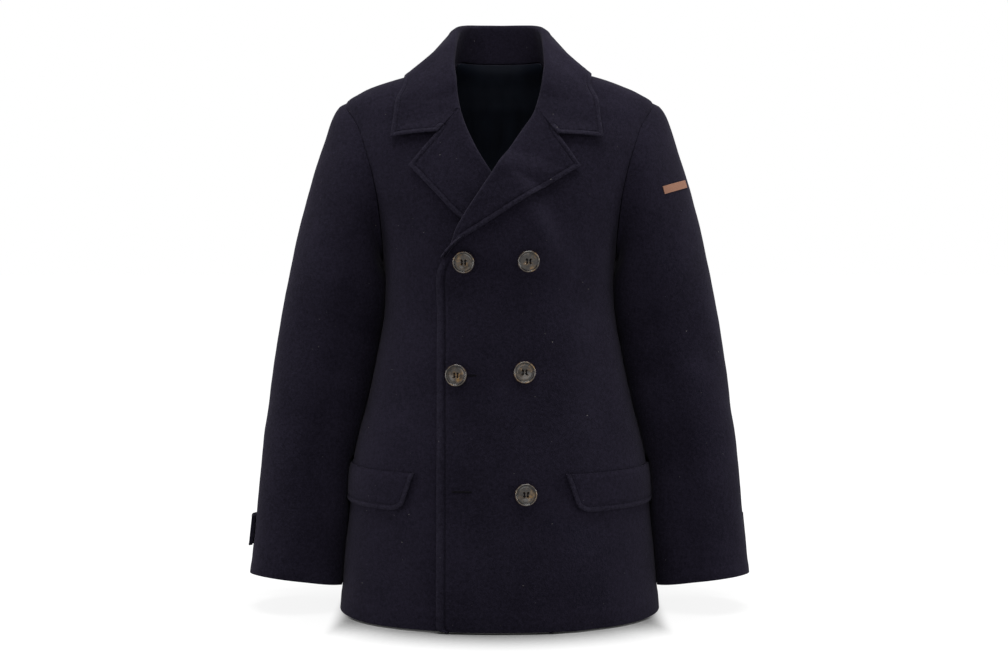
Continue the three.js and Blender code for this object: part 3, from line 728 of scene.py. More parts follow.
def back_fold(angle, z):
    """How far the hanging back's long folds move the cloth, out or in."""
    total = 0
    for turn, top, bottom, drift, width, out in zip(*BACK_FOLDS.values()):
        along = np.clip((top - z) / (top - bottom), 0, 1)
        off = (angle % (2 * np.pi) - np.radians(turn + drift * along)) * curve(BODY, "z", "back", z)
        ends = smoothstep(top - z, 0, 80) * smoothstep(z - bottom, 0, 70)
        total = total + out * np.exp(-((off / width) ** 2)) * ends
    return total


def neck_height(angle):
    return NECK_Z + 10.5 * smoothstep(np.abs(angle), np.radians(96), np.radians(129))


def back():
    flat = np.concatenate([SKIRT_Z, ARMHOLE_Z])
    steps = np.linspace(0, 1, 21)[1:]
    ends = np.concatenate([flat, ARMHOLE_TOP + (NECK_Z - ARMHOLE_TOP) * steps])
    rise = np.concatenate([np.zeros(len(flat)), steps])
    edge = angle_at_y(SEAM_Y + SEAM / 2 + armhole_depth(ends), ends)
    share = spaced(np.full(1, 100.0), [0, 0.3, 0.8], [0, 0.3, 0.8], 132)[0] / 100
    angle = edge[:, None] + (2 * np.pi - 2 * edge)[:, None] * share
    angle = np.where(angle > np.pi, angle - 2 * np.pi, angle)
    z = ends[:, None] + (neck_height(angle) - NECK_Z) * rise[:, None]
    points = on_body(angle, z, back_fold(angle, z))
    cut = flat_cut(points)
    raised = turned_hem(24, z - HEM_Z) + waves(points) + creases(points, BACK_CREASES)
    points = points + outward(angle, z) * raised[..., None]
    made = cloth("back", points, 1, edge=np.full(z.shape, NO_EDGE * MM), along=z * MM)
    declare(made, cut)


back()

# %% [markdown]
# Sleeves are tubes cut in two halves and set into the armholes. Their tops keep the armhole's curve
# and turn into an oval lower down. The creases are where a hanging sleeve breaks: at the inside of
# the elbow, below the armhole, and above the cuff.

# %% Sleeves
SLEEVE = table(
    "at outX outZ gap inZ front back bow tilt",
    (0, 206.4, -37, 0.4, -250, -72, 90, 1, 0),
    (0.03, 217, -43, 3.4, -253, -75, 93, 0.85, 0),
    (0.08, 227, -59, 3.6, -259, -77, 95, 0.65, 0),
    (0.15, 237.5, -90, 3, -268, -77, 95, 0.45, 0),
    (0.24, 251, -129, 2.4, -283, -73, 93, 0.25, 0),
    (0.35, 267, -183, 2, -308, -67, 89, 0.1, 0),
    (0.46, 282.5, -248, 1.8, -345, -61, 85, 0, 0),
    (0.56, 295.5, -312, 1.8, -390, -57, 80, 0, 0),
    (0.66, 307, -385, 1.8, -442, -55, 75, 0, 0),
    (0.76, 316.5, -455, 4.4, -505, -55, 69, 0, 0),
    (0.86, 324.5, -528, 5.2, -560, -57, 63, 0, 1),
    (0.93, 330.5, -600, 2.2, -622, -59, 58, 0, 4),
    (1, 338, -675, 1.8, -690, -61, 53, 0, 8),
)
FLAT_LENGTH = 560
FLAT_RADIUS = 62
SLEEVE_FOLDS = [
    (0.48, 205, 0.54, 285, 22, -4),
    (0.6, 205, 0.63, 300, 20, -3),
    (0.54, 60, 0.6, 150, 24, -3),
]
SLEEVE_CREASES = [
    (200, -50, -262, 232, -62, -230, 12, -1.8),
    (205, -52, -300, 250, -60, -262, 14, 1.2),
    (215, -48, -372, 268, -56, -340, 15, -1.9),
    (222, -46, -418, 285, -54, -392, 17, 1.5),
    (230, -46, -470, 290, -54, -452, 14, -1.6),
    (300, -30, -430, 312, 10, -470, 18, -1.3),
    (262, -60, -150, 280, -50, -240, 20, -1.2),
    (250, -56, -560, 306, -52, -600, 16, -1.1),
    (236, 60, -330, 282, 70, -300, 14, -1.8),
    (240, 60, -420, 300, 62, -470, 18, 1.4),
    (246, 60, -505, 310, 52, -530, 14, -1.5),
]


def on_sleeve(at, angle, out=0.0, side=1):
    """Points of the sleeve. The angle runs from the outer side over the back to the inner side."""
    at, angle = np.broadcast_arrays(np.asarray(at, float), np.asarray(angle, float))

    def place(at, turn):
        value = {key: curve(SLEEVE, "at", key, at) for key in SLEEVE}
        share = (1 + np.cos(turn)) / 2
        middle = (value["front"] + value["back"]) / 2
        y = middle + (value["back"] - value["front"]) / 2 * np.sin(turn)
        z = value["inZ"] + (value["outZ"] - value["inZ"]) * share - value["tilt"] * np.sin(turn)
        inner = curve(BODY, "z", "side", value["inZ"]) + value["gap"]
        hole_y = SEAM_Y + ARMHOLE_DEPTH * np.sin(turn)
        hole_z = ARMHOLE_MIDDLE + ARMHOLE_HALF * np.cos(turn)
        hole_side = curve(BODY, "z", "side", ARMHOLE_BOTTOM)
        chord = hole_side + (SLEEVE["outX"][0] - hole_side) * share
        bow = on_ring(angle_at_y(hole_y, hole_z), hole_z)[..., 0] - chord
        x = inner + (value["outX"] - inner) * share + bow * value["bow"]
        return np.stack([x, y, z], -1)

    point = place(at, angle)
    tangent = place(np.minimum(at + 0.01, 1), angle) - place(np.maximum(at - 0.01, 0), angle)
    round_it = place(at, angle + 0.02) - place(at, angle - 0.02)
    normal = unit(np.cross(tangent, round_it))
    point = point + normal * np.asarray(out)[..., None]
    mirror = np.array([side, 1, 1])
    return point * mirror, normal * mirror


def sleeve_fold(at, angle):
    """The large breaks of a hanging sleeve, laid out on the sleeve as if it were flat."""
    total = 0
    flat = np.stack(np.broadcast_arrays(at * FLAT_LENGTH, angle * FLAT_RADIUS), -1)
    for at0, turn0, at1, turn1, width, out in SLEEVE_FOLDS:
        a = np.array([at0 * FLAT_LENGTH, np.radians(turn0) * FLAT_RADIUS])
        b = np.array([at1 * FLAT_LENGTH, np.radians(turn1) * FLAT_RADIUS])
        total = total + out * np.exp(-((to_segment(flat, a, b)[0] / width) ** 2))
    return total


def sleeve_relief(points, side):
    return waves(points, 1.2) + creases(points * np.array([side, 1, 1]), SLEEVE_CREASES)


def against_body(points, pressed):
    """The x of sleeve points where the sleeve's inner side is pressed flat against the body."""
    x, y, z = points[..., 0], points[..., 1], points[..., 2]
    depth = np.where(y < 0, curve(BODY, "z", "front", z), curve(BODY, "z", "back", z))
    beside = pressed & (np.abs(y) < depth - 1)
    body = on_ring(angle_at_y(np.clip(y, -depth + 1, depth - 1), z), z)[..., 0]
    over_flap = smoothstep(-z, 512, 522) * (1 - smoothstep(-z, 573, 583)) * (1 - smoothstep(y, 5, 25))
    return np.where(beside, np.maximum(x, body + 0.6 + 4.5 * over_flap), x)


def sleeve(name, side):
    at = np.concatenate([np.linspace(0, 0.1, 17), np.linspace(0.1, 0.955, 104)[1:]])
    at = np.concatenate([at, np.linspace(0.955, 1, 19)[1:]])
    angle = np.linspace(0, 2 * np.pi, 101)[:-1]
    folds = sleeve_fold(at[:, None], angle[None])
    points, normal = on_sleeve(at[:, None], angle[None], folds, side)
    cut = flat_cut(points, True)
    steps = np.linalg.norm(np.diff(points, axis=0), axis=-1)
    to_cuff = np.concatenate([steps[::-1].cumsum(0)[::-1], np.zeros((1, len(angle)))])
    raised = (turned_hem(15, to_cuff) + sleeve_relief(points, side)) * smoothstep(at, 0, 0.03)[:, None]
    inner = smoothstep(-np.cos(angle), 0.3, 0.9)[None] * smoothstep(at, 0.12, 0.3)[:, None]
    raised = np.where(raised > 0, raised * (1 - inner), raised) + 9 * inner
    points = points + normal * raised[..., None]
    points[..., 0] = side * against_body(points * np.array([side, 1, 1]), inner > 0)
    far = np.full(to_cuff.shape, NO_EDGE * MM)
    made = cloth(name, points, -side, closed=True, edge=far, along=far)
    declare(made, cut)


sleeve("sleeve_left", 1)
sleeve("sleeve_right", -1)

# %% [markdown]
# The left sleeve carries a small stitched mark. Here it is a plain straight band of rust thread, of
# the same size and colour, sewn square across the sleeve.


# %% Sleeve mark
def mark(centre_x, centre_z, tilt, width, height):
    u, v = np.meshgrid(np.linspace(-width / 2, width / 2, 61), np.linspace(-height / 2, height / 2, 15))
    goal = np.stack([centre_x + u * np.cos(tilt) - v * np.sin(tilt),
                     centre_z + u * np.sin(tilt) + v * np.cos(tilt)], -1)
    at = np.full(u.shape, 0.2)
    turn = np.full(u.shape, np.radians(300))
    for _ in range(12):
        here = on_sleeve(at, turn)[0][..., ::2]
        by_at = (on_sleeve(at + 0.002, turn)[0][..., ::2] - here) / 0.002
        by_turn = (on_sleeve(at, turn + 0.01)[0][..., ::2] - here) / 0.01
        gap = goal - here
        scale = by_at[..., 0] * by_turn[..., 1] - by_at[..., 1] * by_turn[..., 0]
        at = at + (gap[..., 0] * by_turn[..., 1] - gap[..., 1] * by_turn[..., 0]) / scale
        turn = turn + (by_at[..., 0] * gap[..., 1] - by_at[..., 1] * gap[..., 0]) / scale
    points, normal = on_sleeve(at, turn, sleeve_fold(at, turn))
    rib = 0.12 * np.cos(u * np.pi / 0.65)
    points = points + normal * (sleeve_relief(points, 1) + 1.0 + rib)[..., None]
    cut = flat_cut(points)
    made = cloth("mark", points, 1, wall=0.8, material=RUST, round_mm=0.3)
    declare(made, cut)


mark(232.5, -154.5, np.radians(16), 36, 10.5)

# %% [markdown]
# Lapels and collar are turned pieces. Each section starts at a seam inside, rises to the fold, goes
# round it and lies down to the outer edge. Stiff interlining keeps the fold round and the edge flat,
# and a row of stitches near the edge holds the two layers together.


# %% Turned pieces
def through(values, q, corner_at=None):
    """Smooth values between the rows of a table, with a sharp corner at one row where it has one."""
    values = np.asarray(values, float)
    rows = np.arange(len(values), dtype=float)

    def run(first, last):
        part = rows[first : last + 1]
        columns = values[first : last + 1].T
        return np.stack([curve({"q": part, "v": column}, "q", "v", q) for column in columns], -1)

    if corner_at is None:
        return run(0, len(values) - 1)
    return np.where((q <= corner_at)[:, None], run(0, corner_at), run(corner_at, len(values) - 1))


def clear(point, height, stand):
    """Outer points moved off the panels beneath them."""
    reach = [(0, 0), (9, 0), (-9, 0), (0, 9), (0, -9)]
    stand = stand * (1 - 0.85 * smoothstep(point[..., 2], -42, -18))
    least = np.max([height(point[..., 0] + x, point[..., 2] + z) for x, z in reach], 0) + WALL + stand
    for _ in range(5):
        angle = np.arctan2(point[..., 0], -point[..., 1])
        normal = outward(angle, point[..., 2])
        gap = ((point - on_ring(angle, point[..., 2])) * normal).sum(-1)
        point = point + normal * np.maximum(least - gap, 0)[..., None]
    return point


FOLD_COLUMNS = 20


def soften(points, times):
    """Points eased towards their neighbours, with the borders kept."""
    for _ in range(times):
        inner = points[1:-1, 1:-1]
        around = points[:-2, 1:-1] + points[2:, 1:-1] + points[1:-1, :-2] + points[1:-1, 2:]
        points = points.copy()
        points[1:-1, 1:-1] = inner * 0.5 + around / 8
    return points


def turned(neck, fold, edge, radius, lean, height, stand, via=None, weight=None):
    """Sections from the seam round the fold to the outer edge."""
    tangent = unit(np.gradient(fold, axis=0))
    radius = radius[:, None]
    out = lean
    for _ in range(4):
        rise = fold - neck - out * radius
        rise = unit(rise - tangent * (rise * tangent).sum(-1, keepdims=True))
        turn = unit(np.cross(tangent, rise))
        out = turn * np.sign((turn * out).sum(-1, keepdims=True))
    centre = fold - rise * radius

    def on_fold(turn):
        return centre - out * radius * np.cos(turn) + rise * radius * np.sin(turn)

    reach = edge - centre
    aim = np.arctan2((reach * out).sum(-1), (reach * rise).sum(-1))
    final = np.where(aim < 0, aim + 2 * np.pi, aim)
    final = final + np.arcsin(np.clip(radius[:, 0] / np.linalg.norm(reach, axis=-1), 0, 0.9))
    final = final[:, None]
    first = on_fold(0 * final)
    columns = [neck + (first - neck) * t for t in np.linspace(0, 1, 7)[:-1]]
    columns += [on_fold(final * t) for t in np.linspace(0, 1, 13)]
    start = columns[-1]
    length = np.linalg.norm(edge - start, axis=-1)
    inset = [0, 0.8, 2, 3.4, 4.8, 6, 7, 8, 9, 10, 11, 12.5, 14.5, 17]
    along = spaced(length, [0, 3], inset, 30)[:, 1:] / length[:, None]
    if via is not None:
        bend = np.linalg.norm(via - start, axis=-1)
        bend = bend / (bend + np.linalg.norm(edge - via, axis=-1))
    for t in along.T:
        point = start + (edge - start) * t[:, None]
        if via is not None:
            before = start + (via - start) * (t / bend)[:, None]
            after = via + (edge - via) * ((t - bend) / (1 - bend))[:, None]
            bent = np.where((t < bend)[:, None], before, after)
            point = point + (bent - point) * weight[:, None]
        columns.append(clear(point, height, stand))
    return np.stack(columns, 1)


def turned_cloth(name, points, sign, line, lift):
    cut = flat_cut(points)
    distance, along = outline_distance(points, line)
    distance[:, :FOLD_COLUMNS] = NO_EDGE
    lifted = lift * (1 - smoothstep(distance, 0, 26)) * smoothstep(-points[..., 2], 22, 50)
    on_top = smoothstep(points[..., 2], -42, -18)
    raised = welt(distance, 6.0, 0.85, 0.45) * (1 - 0.8 * on_top) + waves(points, 0.7) + lifted
    points = points + normals(points, sign) * raised[..., None]
    made = cloth(name, points, sign, edge=distance * MM, along=along * MM)
    declare(made, (*cut[:2], min(cut[2], cut[0] * cut[1])))


def lapel(name, rows, roll, side, height):
    q = np.linspace(0, len(rows["level"]) - 1, 24 * (len(rows["level"]) - 1) + 1)
    level = through(rows["level"][:, None], q)[:, 0]
    z = level_z(level)
    roll_x = curve(roll, "z", "x", z)
    seam_angle = angle_at_x(roll_x + side * 6.5, z)
    lift = height(on_ring(seam_angle, z)[..., 0], z)
    roll_angle = angle_at_x(roll_x, z)
    edge_xz = through(np.stack([rows["x"], rows["z"]], -1), q, 3)
    edge = clear(on_ring(angle_at_x(edge_xz[:, 0], edge_xz[:, 1]), edge_xz[:, 1]), height, 1.3)
    radius = through(rows["fold"][:, None], q)[:, 0]
    neck = on_body(seam_angle, z, lift - WALL)
    fold = on_body(roll_angle, z, lift - WALL + radius)
    points = turned(neck, fold, edge, radius, outward(roll_angle, z), height, 1.3)
    points = soften(points, 3)
    turned_cloth(name, points, -side, points[:, -1], 0.8)


lapel("lapel_under", UNDER_LAPEL, UNDER_ROLL, -1, flat_height)
lapel("lapel_top", TOP_LAPEL, TOP_ROLL, 1, lap_height)

# %% [markdown]
# The collar is one strip, cut on a curve. Its stand rises inside the neck and its leaf falls over the
# neck seam on to the shoulders. Both ends meet the lapels at the gorge and spread from there to the
# corners, which leaves the notches open.

# %% Collar
COLLAR_BACK = table(
    "neck foldX foldY foldZ edge edgeZ fold",
    (180, 0, 67, 78, 180, -16, 6),
    (152, 28, 62, 77.5, 154, -16, 6),
    (127, 47, 46, 75, 131, -14, 6),
    (106, 57, 25, 69, 110, -7.6, 6),
    (90, 60, 2, 57, 92, -3, 6),
)
COLLAR_FRONT = table(
    "rollZ foldX foldY foldZ edgeX edgeZ fold",
    (22, 61, -24, 40, 126.5, -17.2, 6),
    (2.2, 60, -48, 14, 134, -41, 6),
    (-17.4, 57, -66, -11, 136.5, -63, 5.5),
    (-37, 0, 0, 0, 138.5, -81, 5),
    (-56.2, 0, 0, 0, 139.5, -93.5, 5),
)


def collar_half(side):
    """Seam, fold, edge, lean and radius of one half's sections, from the middle of the back."""
    sections = []
    for turn, fx, fy, fz, edge_turn, edge_z, fold in zip(*COLLAR_BACK.values()):
        angle = side * np.radians(turn)
        lean = np.array([np.sin(angle), -np.cos(angle), 0])
        neck = on_ring(angle, neck_height(angle)) - lean * WALL + np.array([0, 0, 0.6])
        edge = on_ring(side * np.radians(edge_turn), edge_z)
        sections.append([neck, np.array([side * fx, fy, fz]), edge, lean, np.full(3, fold)])
    reach = 0.953 if side > 0 else 1
    roll = TOP_ROLL if side > 0 else UNDER_ROLL
    for roll_z, fx, fy, fz, edge_x, edge_z, fold in zip(*COLLAR_FRONT.values()):
        if roll_z > 12:
            angle = side * np.radians(76)
            lean = np.array([np.sin(angle), -np.cos(angle), 0])
            neck = on_ring(angle, NECK_Z) - lean * WALL + np.array([0, 0, 0.6])
        else:
            angle = angle_at_x(curve(roll, "z", "x", roll_z) + side * 5.6, roll_z)
            lean = np.array([np.sin(angle), -np.cos(angle), 0])
            neck = on_body(angle, roll_z, -WALL)
        roll_angle = angle_at_x(curve(roll, "z", "x", roll_z), roll_z)
        top = np.array([side * fx, fy, fz]) if fz else on_body(roll_angle, roll_z, fold - WALL)
        edge = on_ring(angle_at_x(side * edge_x * reach, edge_z), edge_z)
        sections.append([neck, top, edge, lean, np.full(3, fold)])
    return sections


def collar():
    sections = np.array(collar_half(-1)[::-1] + collar_half(1)[1:])
    q = np.linspace(0, len(sections) - 1, 16 * (len(sections) - 1) + 1)
    neck, fold, edge, lean, radius = (through(sections[:, k], q) for k in range(5))
    near_end = np.maximum(1 - q, q - (len(sections) - 2))
    weight = smoothstep(near_end, 0.0, 1.0)
    notch_x = np.where(q < 9, -79.5, 74)
    notch_z = np.where(q < 9, -87.5, -90.5)
    via = clear(on_ring(angle_at_x(notch_x, notch_z), notch_z), flat_height, 2.3)
    edge = clear(edge, flat_height, 2.3)
    points = turned(neck, fold, edge, radius[:, 0], unit(lean), flat_height, 2.3, via, weight)
    points = soften(points, 4)
    line = np.concatenate([points[0, 30:], points[1:, -1], points[-1, 30:][::-1]])
    turned_cloth("collar", points, -1, line, 2.4)


collar()

# %% [markdown]
# The lining shows only through the neck. It is sewn to the collar seam in a straight line and falls
# loose behind it, so it takes a few long folds.

# %% Lining
u = np.linspace(0, 1, 90)[None]
v = np.linspace(0, 1, 90)[:, None]
turn = np.radians(180 - (63 - 126 * u))
turn = np.where(turn > np.pi, turn - 2 * np.pi, turn) + 0 * v
lining_z = (1 - (1 - v) ** 1.5) * (neck_height(turn) - 1) + (1 - v) ** 1.5 * -300
lining = on_body(turn, lining_z, back_fold(turn, lining_z) - WALL - 2.3)
lining_cut = flat_cut(lining)
fold_depth = 1.6 * np.sin(lining[..., 0] / 7.5 + 0.6 * np.sin(lining_z / 40)) * smoothstep(-lining_z, 0, 60)
lining = lining - outward(turn, lining_z) * (np.abs(fold_depth) * 1.2)[..., None]
lining_back = cloth("lining_back", lining, 1, wall=1.5, material=SATIN, round_mm=0.4)
declare(lining_back, lining_cut)

# %% [markdown]
# Pocket flaps are sewn into the pocket mouths and hang over them. Cuff straps lie on the sleeves.
# Both are two layers stitched round their free edges, with corners eased round by the turning.


# %% Flaps and straps
def rounded(columns, rows, width, length, radius):
    """Places over a rectangle from its lower left, with the given corners pulled in to a radius."""
    u, v = np.meshgrid(columns, rows)
    x = u * width
    y = v * length
    for right, top in [(False, False), (True, False)]:
        dx = width - x if right else x
        dy = length - y if top else y
        inside = (dx < radius) & (dy < radius)
        far = np.hypot(radius - dx, radius - dy)
        biggest = np.maximum(radius - dx, radius - dy)
        pull = np.where(inside & (far > 0), biggest / np.maximum(far, 1e-9), 1)
        new_dx = radius - (radius - dx) * pull
        new_dy = radius - (radius - dy) * pull
        x = np.where(inside, width - new_dx if right else new_dx, x)
        y = np.where(inside, length - new_dy if top else new_dy, y)
    return x / width, y / length


def border(length, total):
    """Shares along a side, close together near both ends."""
    return spaced(np.full(1, float(total)), [0, 0.7, 1.6, 2.8, 4, 5.2, 6.4, 7.6, 9, 11],
                  [0, 0.7, 1.6, 2.8, 4, 5.2, 6.4, 7.6, 9, 11], length)[0] / total


def flap(name, side, top_x, bottom_x, end_angle):
    height = lap_height if side > 0 else flat_height
    u, v = rounded(border(36, 80), border(18, 49), 80, 49, 11)
    z = -572 + 49 * v
    inner = angle_at_x(side * (bottom_x + (top_x - bottom_x) * v), z)
    angle = inner + (side * np.radians(end_angle) - inner) * u
    lift = height(on_ring(angle, z)[..., 0], z) + WALL + LAY
    points = on_body(angle, z, lift)
    cut = flat_cut(points)
    line = np.concatenate([points[::-1, 0], points[0], points[:, -1]])
    distance, along = outline_distance(points, line)
    puff = 1.1 * np.sin(np.pi * np.clip(v, 0, 1)) * np.sin(np.pi * np.clip(u, 0, 1))
    raised = welt(distance, 6.5, 0.7, 0.5) + puff + waves(points)
    raised = raised - 1.2 * smoothstep(v, 0.86, 1)
    points = points + outward(angle, z) * raised[..., None]
    made = cloth(name, points, side, edge=distance * MM, along=along * MM, round_mm=1.1)
    declare(made, cut)


def strap(name, side, start, end):
    length = 3.0 * (end - start)
    u, v = rounded(border(60, length), border(10, 27), length, 27, 6)
    at = 0.966 - 0.039 * v
    turn = np.radians(start + (end - start) * u)
    points, normal = on_sleeve(at, turn, np.full(u.shape, 5 + LAY), side)
    cut = flat_cut(points)
    line = np.concatenate([points[::-1, 0], points[0], points[:, -1], points[-1, ::-1]])
    distance, along = outline_distance(points, line)
    points = points + normal * welt(distance, 5.0, 0.4, 0.6)[..., None]
    made = cloth(name, points, side, wall=5, edge=(distance + 1.5) * MM, along=along * MM, round_mm=1.4)
    declare(made, cut)


flap("flap_left", 1, 83, 100, 84)
flap("flap_right", -1, 108, 124, 92)
strap("strap_left", 1, 14, 130)
strap("strap_right", -1, -16, 130)

# %% [markdown]
# A button is turned from a disc: a spun profile with a raised rim and a dished middle, drilled four
# times. It is sewn on through the holes with two bars of dark thread, and stands on a short shank.

# %% Buttons
BUTTONS = [(-44.5, -253), (36, -251), (-54, -398), (31.8, -394), (33.5, -547)]


def on_front(x, z, out=0.0):
    """A point of the lapped front's outer face."""
    angle = angle_at_x(x, z)
    return on_body(angle, z, lap_height(np.asarray(x, float), np.asarray(z, float)) + out)


def seat(x, z):
    """A matrix that puts a flat piece, facing +Z, on the front at this place."""
    across = unit(on_front(x + 14, z) - on_front(x - 14, z))
    up = unit(on_front(x, z + 14) - on_front(x, z - 14))
    facing = unit(np.cross(across, up))
    up = np.cross(facing, across)
    spin = np.radians(45 * np.arange(8))
    rim = on_front(x + 14 * np.cos(spin), z + 14 * np.sin(spin)) - on_front(x, z)
    rise = max(0, (rim @ facing).max()) + 0.6
    place = Matrix(np.stack([across, up, facing], 1)).to_4x4()
    place.translation = Vector((on_front(x, z) + facing * rise) * MM)
    return place


def disc():
    """One button's mesh, facing +Z, in metres."""
    profile = [(0, 0), (11.6, 0), (13.2, 0.5), (14, 1.5), (14, 3.5), (13.8, 4.1), (13.4, 4.5), (12.9, 4.6)]
    profile += [(12.4, 4.4), (12.0, 3.8), (11.7, 3.1), (11.2, 2.8), (10.6, 3.0), (9.8, 3.4), (8.4, 3.3)]
    profile += [(6.4, 2.9), (3.5, 2.6), (0, 2.5)]
    bm = bmesh.new()
    rim = bm.verts.layers.float.new("rim")
    verts = [bm.verts.new((r * MM, 0, h * MM)) for r, h in profile]
    for vert, (r, h) in zip(verts, profile):
        # rim is 1 on the raised rim, for a painted highlight, and -1 in the groove ring, for painted shade.
        vert[rim] = (12.5 < r < 13.7 and h > 4) - (11 < r < 12.1 and h > 2)
    edges = [bm.edges.new(pair) for pair in zip(verts[:-1], verts[1:])]
    bmesh.ops.spin(bm, geom=verts + edges, axis=(0, 0, 1), cent=(0, 0, 0), angle=2 * np.pi, steps=48)
    bmesh.ops.remove_doubles(bm, verts=bm.verts[:], dist=1e-6)
    bmesh.ops.recalc_face_normals(bm, faces=bm.faces[:])
    body = link("button_blank", bm, HORN)
    bm = bmesh.new()
    for x, y in [(1, 1), (1, -1), (-1, 1), (-1, -1)]:
        place = Matrix.Translation((x * 2.2 * MM, y * 2.2 * MM, 0.003))
        bmesh.ops.create_cone(bm, cap_ends=True, segments=16, radius1=1.15 * MM, radius2=1.15 * MM,
                              depth=0.02, matrix=place)
    drill = link("drill", bm, HORN)
    cut = body.modifiers.new("holes", "BOOLEAN")
    cut.object = drill
    cut.solver = "EXACT"
    mesh = bpy.data.meshes.new_from_object(body.evaluated_get(bpy.context.evaluated_depsgraph_get()))
    bpy.data.objects.remove(drill)
    bpy.data.objects.remove(body)
    return mesh


BLANK = disc()


def button(index, x, z):
    place = seat(x, z)
    mesh = BLANK.copy()
    mesh.transform(place)
    mesh.name = f"button_{index}_horn"
    made = bpy.data.objects.new(mesh.name, mesh)
    bpy.context.scene.collection.objects.link(made)
    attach(made, "root")
    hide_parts(f"button_{index}")
    bm = bmesh.new()
    for shift in (-2.6, -1.8, 1.8, 2.6):
        strand = Matrix.Translation((shift * MM, 0, 2.9 * MM))
        size = Matrix.Diagonal((0.75 * MM, 5.4 * MM, 0.9 * MM, 1))
        bmesh.ops.create_cube(bm, size=1, matrix=place @ strand @ size)
    bmesh.ops.bevel(bm, geom=bm.edges[:], offset=0.28 * MM, segments=2, profile=0.5, affect="EDGES",
                    material=-1)
    thread = link(f"button_{index}_thread", bm, THREAD)
    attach(thread, "root")


for index, (x, z) in enumerate(BUTTONS, 1):
    button(index, x, z)
print("button faces:", len(BLANK.polygons))

# %% [markdown]
# The buttonholes are slots worked round with close thread. One holds the middle button of the outer
# row, and the lowest shows empty.


# %% Buttonholes
def buttonhole(name, x, z, half):
    """A worked slot along the front, as a ring of thread."""
    bm = bmesh.new()
    turns = np.linspace(0, 2 * np.pi, 97)[:-1]
    ring_x = half * np.cos(turns)
    ring_z = 0.75 * np.sign(np.sin(turns)) * np.abs(np.sin(turns)) ** 0.35
    centre = on_front(x + ring_x, z + ring_z, 0.15)
    tangent = unit(np.roll(centre, -1, 0) - np.roll(centre, 1, 0))
    facing = outward(angle_at_x(x + ring_x, z + ring_z), z + ring_z)
    side = np.cross(tangent, facing)
    thick = 0.5 + 0.12 * np.cos(np.arange(96) * np.pi)
    bmesh.ops.create_grid(bm, x_segments=96, y_segments=8, size=1)
    for vert in bm.verts:
        i = round((vert.co.x + 1) / 2 * 96) % 96
        turn = (round((vert.co.y + 1) / 2 * 8) % 8) * np.pi / 4
        around = side[i] * np.cos(turn) + facing[i] * np.sin(turn)
        vert.co = (centre[i] + around * thick[i]) * MM
    bmesh.ops.remove_doubles(bm, verts=bm.verts[:], dist=1e-6)
    bmesh.ops.recalc_face_normals(bm, faces=bm.faces[:])
    made = link(name, bm, THREAD)
    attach(made, "root")


buttonhole("buttonhole_lowest", -47, -544, 12)
buttonhole("buttonhole_middle", -38, -398, 9)

# %% [markdown]
# The picture is taken on a pale floor under plain soft light, from in front of the coat and level with
# its chest. The camera looks straight ahead. Its distance and shift were worked out from how the hem
# drops and how the flaps slope in the photo.

# %% Floor, light and camera
bm = bmesh.new()
bmesh.ops.create_grid(bm, x_segments=1, y_segments=1, size=14, matrix=Matrix.Translation((0, 8, -0.7215)))
floor_material, floor_tree, floor_shader = finish_material(
    "floor",
    {
        "Base Color": (0.08, 0.08, 0.08, 1),
        "Roughness": 1.0,
        "Specular IOR Level": 0.0,
        "Emission Color": (1, 1, 1, 1),
    },
)
# The floor glows. Near the coat's hem its glow is darkened by ambient occlusion: a painted contact shadow.
near = node(floor_tree, "ShaderNodeAmbientOcclusion", {"Distance": 0.12}, samples=16).outputs["AO"]
painted_contact_shadow = ramp(floor_tree, near, 0.45, 1.0)
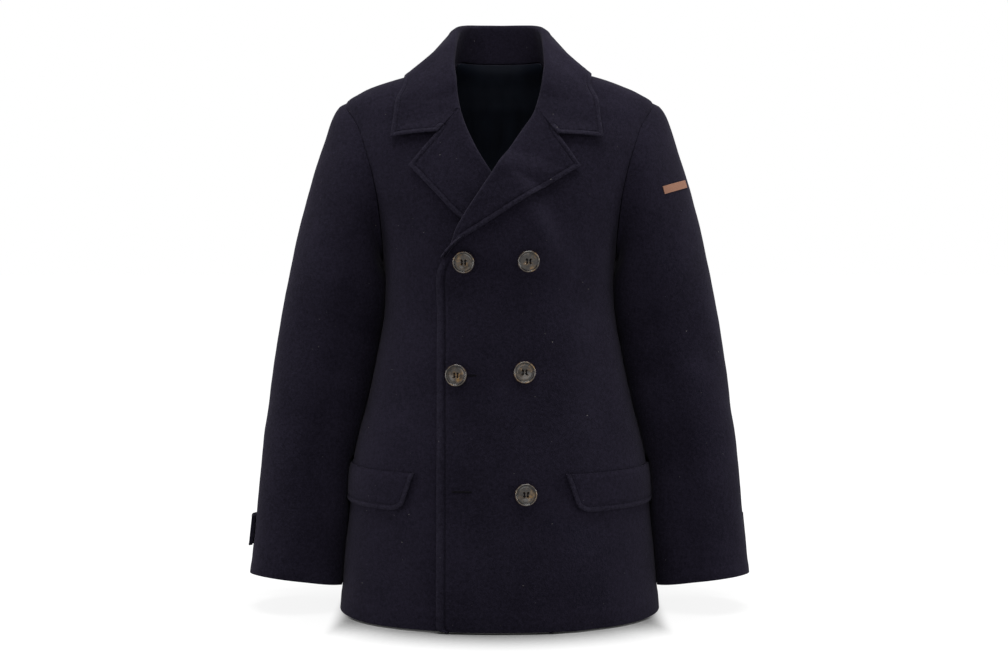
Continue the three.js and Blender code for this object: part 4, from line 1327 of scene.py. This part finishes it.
# Beside the sleeves the painted contact shadow is mostly faded out.
ground = floor_tree.nodes.new("ShaderNodeNewGeometry").outputs["Position"]
across = node(floor_tree, "ShaderNodeSeparateXYZ", {0: ground}).outputs["X"]
beside = ramp(floor_tree, math(floor_tree, "ABSOLUTE", across), 0.19, 0.225)
painted_contact_shadow = math(floor_tree, "MAXIMUM", painted_contact_shadow, math(floor_tree, "MULTIPLY", beside, 0.9))
looked = floor_tree.nodes.new("ShaderNodeLightPath").outputs["Is Camera Ray"]
glow = math(floor_tree, "MULTIPLY_ADD", looked, 0.1, 0.88)
floor_tree.links.new(math(floor_tree, "MULTIPLY", glow, painted_contact_shadow), floor_shader.inputs["Emission Strength"])
floor = link("floor", bm, floor_material)

world = bpy.data.worlds.new("studio")
bpy.context.scene.world = world
world.use_nodes = True
world.node_tree.nodes["Background"].inputs["Color"].default_value = (1, 1, 1, 1)
seen = world.node_tree.nodes.new("ShaderNodeLightPath").outputs["Is Camera Ray"]
strength = math(world.node_tree, "MULTIPLY_ADD", seen, 0.5, 0.5)
world.node_tree.links.new(strength, world.node_tree.nodes["Background"].inputs["Strength"])


def soft_light(name, place, aim, size, power):
    data = bpy.data.lights.new(name, "AREA")
    data.shape = "RECTANGLE"
    data.size, data.size_y = size
    data.energy = power
    lamp = bpy.data.objects.new(name, data)
    lamp.location = place
    lamp.rotation_euler = (Vector(aim) - Vector(place)).to_track_quat("-Z", "Y").to_euler()
    bpy.context.scene.collection.objects.link(lamp)


soft_light("above", (0.1, -0.3, 2.1), (0, 0, -0.1), (2.2, 1.4), 114)
soft_light("left", (-2.4, -0.25, -0.45), (0, 0, -0.6), (1.0, 2.0), 58)
soft_light("right", (2.4, -0.25, -0.45), (0, 0, -0.6), (1.0, 2.0), 62)
soft_light("front", (0.1, -2.9, 0.5), (0, 0, -0.4), (1.8, 1.4), 14)

camera_data = bpy.data.cameras.new("camera")
camera_data.lens = 50.5
camera_data.sensor_width = 36
camera_data.shift_y = -0.0883
camera = bpy.data.objects.new("camera", camera_data)
camera.location = (0.006, -1.925, -0.234)
camera.rotation_euler = (np.radians(90), 0, 0)
bpy.context.scene.collection.objects.link(camera)
bpy.context.scene.camera = camera
bpy.context.scene.view_settings.view_transform = "Standard"
